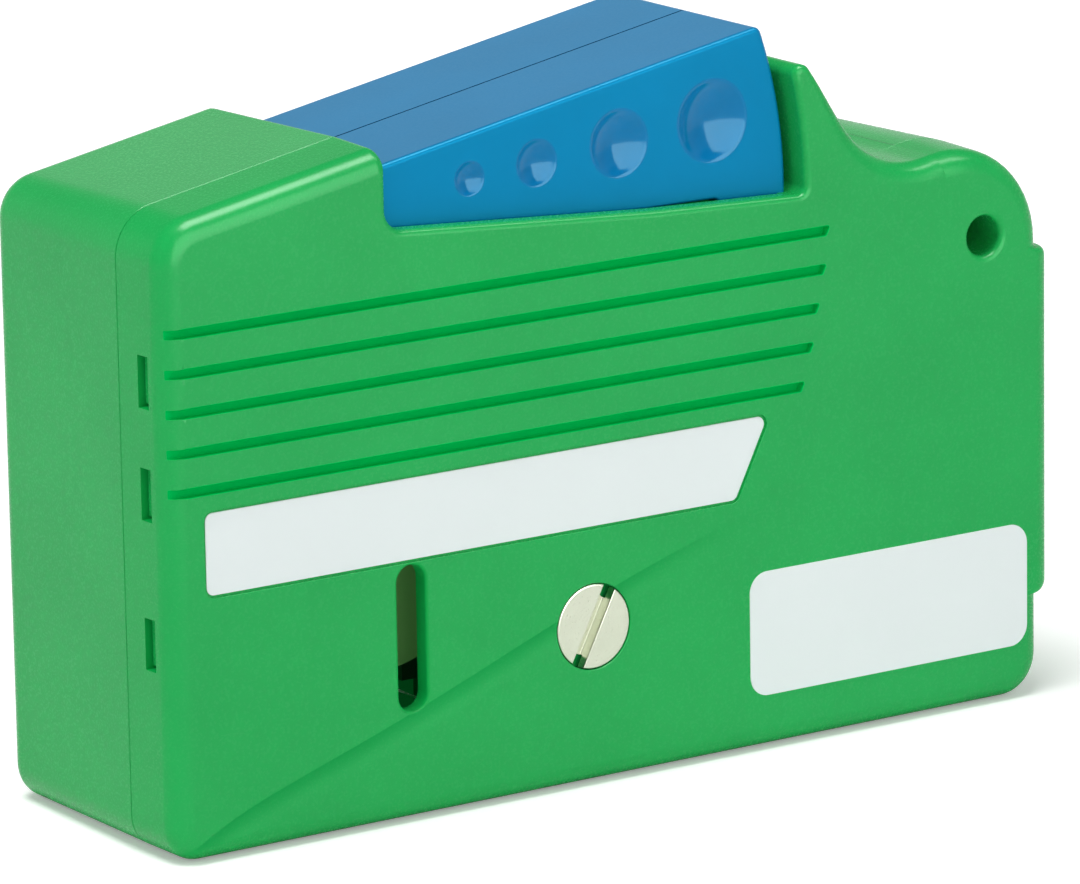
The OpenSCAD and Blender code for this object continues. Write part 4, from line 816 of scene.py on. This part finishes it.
outline = caseOutline()
frontCover(outline)
print("stage: front cover made")
rearShell(outline)
print("stage: rear shell made")


# Lever

# Height of the lever's top: it rises over x at its slope from rise above the pivot
def leverTop(x):
    v = lever
    return v["pivot"][1] + v["rise"] + (x - v["pivot"][0]) * math.tan(math.radians(v["slope"]))


# Outline of the lever from the front: the nose at the pivot, the leg at the other end, the end as an arc of
# reach about the pivot from the leg's heel up to the top, and the straight sloping top. The value is its
# edge's radius.
def leverOutline():
    v = lever
    px, pz = v["pivot"]
    left, end = case["bayLeft"] + v["gap"], px + v["reach"]
    slope = math.radians(v["slope"])
    top = v["slope"] + math.degrees(math.asin(v["rise"] * math.cos(slope) / v["reach"]))
    low = -math.degrees(math.asin(v["legLong"] / v["reach"]))
    corner = (px + v["reach"] * math.cos(math.radians(top)), pz + v["reach"] * math.sin(math.radians(top)))
    soft, slim = (v["edge"], 0.0, 0.0), (v["lowEdge"], 0.0, 0.0)
    return roundOutline([
        (left, pz, 0) + slim, (left + v["nose"], pz, 0) + slim,
        (end - v["legWide"], case["sillMid"] - v["low"], v["legCorner"]) + slim,
        (end - v["legWide"] + v["legSlant"], pz - v["legLong"], 0) + slim,
        *arcCorners(v["pivot"], v["reach"], low, low + v["heelTurn"], 2, *slim),
        *arcCorners(v["pivot"], v["reach"], low + v["endFrom"], top - v["endTrim"], v["endPoints"], *soft),
        (corner[0], corner[1], v["corner"]) + soft,
        (left, leverTop(left), v["corner"]) + soft,
    ])


# Ball-shaped dish of radius r and depth t. The ball's radius is (r² + t²) / 2t, and its rim is rounded by
# lip.
def dishProfile(r, t, lip):
    ball = (r * r + t * t) / (2 * t)
    slope = math.acos(1 - t / ball)
    rim = r + lip * math.tan(slope / 2)
    turns = np.linspace(0, slope, lever["dishRings"][0])
    mouth = [(-overrun, rim)] + [(lip * (1 - math.cos(a)), rim - lip * math.sin(a)) for a in turns]
    start = math.asin(min(1.0, mouth[-1][1] / ball))
    turns = np.linspace(start, lever["dishPole"], lever["dishRings"][1])[1:]
    return mouth + [(t - ball * (1 - math.cos(a)), ball * math.sin(a)) for a in turns]


# Half of the lever, from its face to the seam in the middle: rounded edge, hollow behind the walls, dishes
# in the face, and the nose round the pivot pin. With e the edge's radius and a its angle, a ring of the
# edge lies e (1 - cos a) behind the face and e (1 - sin a) inside the outline. The rear half is the front
# one mirrored. The dishes lie midway between sill and top, and half a gap higher each towards the pivot.
def leverHalf(name, mirrored):
    v = lever
    px, pz = v["pivot"]
    points, outward, values = leverOutline()
    edge = values[:, 0]
    half = (v["back"] - v["front"]) / 2
    rings = []
    for a in np.linspace(0, math.pi / 2, v["edgeRings"]):
        flat = points - outward * (edge * (1 - math.sin(a)))[:, None]
        rings.append(np.stack([flat[:, 0], edge * (1 - math.cos(a)), flat[:, 1]], axis=1))
    end = half - v["seamGap"]
    for y, inset in ((end - v["seam"], 0.0), (end, v["seam"])):
        rings.append(np.insert(points - outward * inset, 1, y, axis=1))

    # Depth in the case of what lies y behind the half's own face
    def place(y):
        return v["back"] - y if mirrored else v["front"] + y

    rings = np.array(rings)
    rings[:, :, 1] = place(rings[:, :, 1])
    piece = skin(name, inFrame(rings[::-1] if mirrored else rings))
    piece.data.materials.append(looks["blue_lever"])
    piece.data.materials.append(matingBlue)
    middle = (v["front"] + v["back"]) / 2 * mm + caseCorner[1]
    centres = np.array([part.center[1] for part in piece.data.polygons])
    mating = np.abs(centres - middle) < (v["seamGap"] + v["seam"]) * mm
    piece.data.polygons.foreach_set("material_index", mating.astype(int))
    inner = v["reach"] - v["wall"]
    left = case["bayLeft"] + v["gap"] + v["wall"]
    lowTurn = -math.degrees(math.asin(v["lift"] / inner))
    topTurn = v["slope"] + math.degrees(math.asin((v["rise"] - v["wall"]) * v["hollowShare"] / inner))
    low, right = pz - v["hollowLow"], px + v["reach"] + v["hollowBeyond"]
    hollow = roundOutline([
        (left, low, 0), (right, low, 0), (right, pz - v["lift"], 0),
        *arcCorners(v["pivot"], inner, lowTurn, topTurn - v["hollowTrim"], v["hollowPoints"]),
        (left, leverTop(left) - v["wall"], 0)
    ], unbroken)
    ends = sorted((place(v["wall"]), place(half + overrun)))
    cuts = [loft("hollow", (hollow[0], hollow[1] * 0), [(ends[0], 0), (ends[1], 0)])]
    for order, (xShare, rShare) in enumerate(v["dishShares"]):
        r = v["reach"] * rShare
        t = min(r * v["dishDeepShare"], v["wall"] - v["dishFloorGaps"] * v["gap"])
        x = px + v["reach"] * xShare
        raised = v["gap"] * (len(v["dishShares"]) - 1 - order) / 2
        z = (case["sillMid"] + leverTop(x)) / 2 + raised
        profile = [(place(y), radius) for y, radius in dishProfile(r, t, r * v["dishLipShare"])]
        dish = lathe("dish", (x, z), profile[::-1] if mirrored else profile, sides["seat"])
        dish.data.materials.append(dishBlue)
        cuts.append(dish)
    noseEnds = sorted((place(v["noseFrom"]), place(half / v["noseParts"])))
    carve(piece, cut=cuts)
    carve(piece, add=[bar(v["pivot"], v["nose"], *noseEnds)],
          cut=[bar(v["pivot"], v["pin"], ends[0] - v["pinBeyond"], ends[1] + v["pinBeyond"])])
    smoothen(piece)
    return dress(piece, "lever", "blue_lever", "lever_rear_half" if mirrored else "lever_front_half")


leverHalf("thumb_lever_front", False)
leverHalf("thumb_lever_rear", True)
print("stage: lever made")


# Coin screw: a flat head with a slot for a coin, and a shank with a real thread. Its face lies a little
# below the case's, by sunk.
screw = {"radius": 4.84, "head": 1.8, "sunk": 0.05, "rim": 1.2, "neck": 3.5, "round": 0.22, "roundRings": 7,
         "slotWide": 1.6, "slotDeep": 1.5, "slotTurn": 62.5, "slotLip": 0.16, "slotFoot": 0.1,
         "threadTop": 2.45, "threadRoot": 2.05, "pitch": 0.8, "threadSunk": 0.2, "threadFade": 1.0,
         "threadRings": 150, "length": 12.3, "smooth": 28.0}


# The thread's radius at the turn a and depth y is root + (top - root) w, where w is the triangle wave of
# y / pitch - a / 360°, which fades out over threadFade at the tip
def threadRings(centre):
    s = screw
    angles = np.linspace(0, 2 * math.pi, sides["bore"], endpoint=False)
    depths = np.linspace(s["head"] - s["threadSunk"], s["length"], s["threadRings"])[:, None]
    phase = (depths / s["pitch"] - angles[None] / (2 * math.pi)) % 1
    wave = 1 - np.abs(2 * phase - 1)
    fade = np.clip((s["length"] - depths) / s["threadFade"], 0, 1)
    radius = s["threadRoot"] + (s["threadTop"] - s["threadRoot"]) * wave * fade
    x = centre[0] + radius * np.cos(angles)
    z = centre[1] + radius * np.sin(angles)
    return np.stack([x, np.broadcast_to(depths, x.shape), z], axis=2)


# A turned head joined to the thread, less the coin's slot. The head's rim is rounded by round: y = sunk +
# round (1 - cos a), and its radius there is radius - round (1 - sin a).
def coinScrew():
    s, at = screw, inside["screw"]
    turns = np.linspace(0, math.pi / 2, s["roundRings"])
    profile = [(s["sunk"] + s["round"] * (1 - math.cos(a)), s["radius"] - s["round"] * (1 - math.sin(a)))
               for a in turns]
    profile += [(s["rim"], s["radius"]), (s["rim"], s["neck"]), (s["head"] - s["sunk"], s["neck"])]
    piece = lathe("coin_screw_turned", at, profile, sides["screw"])
    piece.data.materials.append(looks["nickel"])
    turn = math.radians(s["slotTurn"])
    along, across = np.array([math.cos(turn), math.sin(turn)]), np.array([-math.sin(turn), math.cos(turn)])
    reach, half = s["radius"] + overrun, s["slotWide"] / 2
    signs = (-1, -1), (1, -1), (1, 1), (-1, 1)
    corners = [np.array(at) + along * a * reach + across * b * half for a, b in signs]
    outline = roundOutline([(x, z, 0) for x, z in corners], unbroken)
    edges = [(y + s["sunk"], inset) for y, inset in pocket(s["slotDeep"], s["slotLip"], s["slotFoot"])]
    carve(piece, add=[skin("thread", inFrame(threadRings(at)))], cut=[loft("slot", outline, edges)])
    smoothen(piece, s["smooth"])
    return dress(piece, "lock_screw", "nickel", "coin_screw")


# Blank film with its face at depth y, rounded corners and a slightly eased edge
def label(name, outline, y, node):
    a = labels
    piece = loft(name, outline, [(y + back, inset) for back, inset in a["filmEdge"]] + [(y + a["film"], 0.0)])
    piece.data.materials.append(looks["label_film"])
    smoothen(piece, a["filmSmooth"])
    return dress(piece, "case", "label_film", node)


# The sticker's outline, with round corners
def stickerOutline():
    a = labels
    right, low = a["stickerRight"], a["stickerLow"]
    left, top = right - a["stickerWide"], low + a["stickerHigh"]
    corners = (left, low), (right, low), (right, top), (left, top)
    return roundOutline([(x, z, a["stickerCorner"]) for x, z in corners])


coinScrew()
label("name_plate_film", plateOutline(0.0), labels["recess"] - labels["film"], "name_plate")
label("sticker_film", stickerOutline(), -labels["film"], "sticker")
print("stage: screw and labels made")


# Stage, light and camera

# White paper sweep: its half width and how far it lies below the case in m, its tone, and its glow for the
# camera. The world has a plain level for all rays and 1 for the camera. For glossy rays a white wall is
# added behind the case, which comes in over its span of Y and ends over its span of Z, and a ceiling, whose
# first level goes over into its second in its span of Z.
studio = {
    "half": 4.0, "low": 0.0002, "paper": 0.93, "paperRough": 0.9, "paperGlow": 0.27, "plain": 0.25,
    "wall": 0.3, "wallBack": (0.5, 0.8), "wallHigh": (0.25, 0.38), "ceiling": (0.2, -0.15),
    "ceilingHigh": (0.43, 0.5),
}


# Floor of matt paper, which is part of the stage and not of the piece
def paperFloor():
    half = studio["half"]
    floor = bpy.data.objects.new("floor", bpy.data.meshes.new("floor"))
    corners = [(-half, -half, 0), (half, -half, 0), (half, half, 0), (-half, half, 0)]
    floor.data.from_pydata(corners, [], [(0, 1, 2, 3)])
    floor.location.z = -studio["low"]
    bpy.context.scene.collection.objects.link(floor)
    paper, tree, _ = newMaterial("white paper sweep")
    seen = addNode(tree, "ShaderNodeLightPath").outputs["Is Camera Ray"]
    glow = addNode(tree, "ShaderNodeMath", [seen, studio["paperGlow"]], operation="MULTIPLY")
    shader = addNode(tree, "ShaderNodeBsdfPrincipled", {
        "Base Color": (studio["paper"],) * 3 + (1.0,), "Roughness": studio["paperRough"],
        "Specular IOR Level": 0.0, "Emission Color": (1.0, 1.0, 1.0, 1.0), "Emission Strength": glow
    })
    addNode(tree, "ShaderNodeOutputMaterial", {"Surface": shader})
    floor.data.materials.append(paper)


# World whose strength is the greater of 1 for camera rays and plain + (wall + ceiling for glossy rays)
def whiteWorld():
    world = bpy.data.worlds.new("white studio")
    bpy.context.scene.world = world
    world.use_nodes = True
    tree = world.node_tree
    tree.nodes.clear()
    rays = addNode(tree, "ShaderNodeLightPath").outputs
    way = addNode(tree, "ShaderNodeTexCoord").outputs["Generated"]
    way = addNode(tree, "ShaderNodeSeparateXYZ", [way]).outputs
    behind = addNode(tree, "ShaderNodeMapRange", [way["Y"], *studio["wallBack"], 0.0, studio["wall"]])
    below = addNode(tree, "ShaderNodeMapRange", [way["Z"], *studio["wallHigh"], 1.0, 0.0])
    wall = addNode(tree, "ShaderNodeMath", [behind, below], operation="MULTIPLY")
    ceiling = addNode(tree, "ShaderNodeMapRange", [way["Z"], *studio["ceilingHigh"], *studio["ceiling"]])
    both = addNode(tree, "ShaderNodeMath", [wall, ceiling], operation="ADD")
    gleam = addNode(tree, "ShaderNodeMath", [rays["Is Glossy Ray"], both], operation="MULTIPLY")
    plain = addNode(tree, "ShaderNodeMath", [gleam, studio["plain"]], operation="ADD")
    strength = addNode(tree, "ShaderNodeMath", [plain, rays["Is Camera Ray"]], operation="MAXIMUM")
    light = addNode(tree, "ShaderNodeBackground", {"Color": (1.0, 1.0, 1.0, 1.0), "Strength": strength})
    addNode(tree, "ShaderNodeOutputWorld", {"Surface": light})


# Lights, with places and aims in m. A panel's size is its width and height in m, and the sun's is its angle.
lamps = {
    "overhead": {
        "kind": "SUN", "place": (-0.25, -0.06, 1.0), "aim": (0, 0, 0), "power": 2.2, "size": 30.0
    },
    "front panel": {
        "kind": "AREA", "place": (0.05, -0.52, 0.28), "aim": (0.05, 0, 0.2), "power": 1.0, "size": (0.66, 0.5)
    },
    "left panel": {
        "kind": "AREA", "place": (-0.9, -0.1, 0.5), "aim": (0, 0, 0.04), "power": 1.2, "size": (0.5, 0.5)
    },
}
gleams = {
    "front gleam": {
        "kind": "AREA", "place": (0.05, -0.52, 0.28), "aim": (0.05, 0, 0.28), "power": 6.0,
        "size": (0.66, 0.54)
    },
    "edge gleam": {
        "kind": "AREA", "place": (0.55, -0.24, 0.85), "aim": (0.03, -0.01, 0.07), "power": 2.1,
        "size": (0.14, 0.3)
    },
    "overhead gleam": {
        "kind": "AREA", "place": (0.12, -0.22, 1.0), "aim": (0, 0, 0.05), "power": 13.0, "size": (0.5, 0.4)
    },
}


# Soft lights: lamps light surfaces, and gleams are only seen reflected in them
def softLight(name, gleam, kind, place, aim, power, size):
    data = bpy.data.lights.new(name, kind)
    data.energy = power
    if kind == "SUN":
        data.angle = math.radians(size)
    else:
        data.shape = "RECTANGLE"
        data.size, data.size_y = size
    light = bpy.data.objects.new(name, data)
    light.location = place
    light.rotation_euler = (Vector(aim) - Vector(place)).to_track_quat("-Z", "Y").to_euler()
    light.visible_diffuse = not gleam
    light.visible_glossy = gleam
    bpy.context.scene.collection.objects.link(light)


# The camera as fitted to the photograph: its place in m, and its own right, down and ahead in the frame
view = {
    "sensor": 36.0, "lens": 259.87, "shift": -0.00524, "farthest": 20.0,
    "place": (-0.476724, -0.706374, 0.240234), "right": (0.82629, -0.56301, -0.01594),
    "down": (-0.14430, -0.18425, -0.97223), "ahead": (0.54444, 0.80565, -0.23349),
}


# Camera whose axes, the columns of its matrix, are right, up and back
def photoCamera():
    camera = bpy.data.objects.new("camera", bpy.data.cameras.new("camera"))
    camera.data.sensor_width = view["sensor"]
    camera.data.lens = view["lens"]
    camera.data.shift_y = view["shift"]
    camera.data.clip_end = view["farthest"]
    axes = [Vector(view["right"]), -Vector(view["down"]), -Vector(view["ahead"]), Vector(view["place"])]
    camera.matrix_world = Matrix([[axis[row] for axis in axes] for row in range(3)] + [(0, 0, 0, 1)])
    bpy.context.scene.collection.objects.link(camera)
    bpy.context.scene.camera = camera


paperFloor()
whiteWorld()
for name, lamp in lamps.items():
    softLight(name, False, **lamp)
for name, lamp in gleams.items():
    softLight(name, True, **lamp)
photoCamera()
bpy.context.scene.view_settings.view_transform = "Standard"
print("stage: studio made")
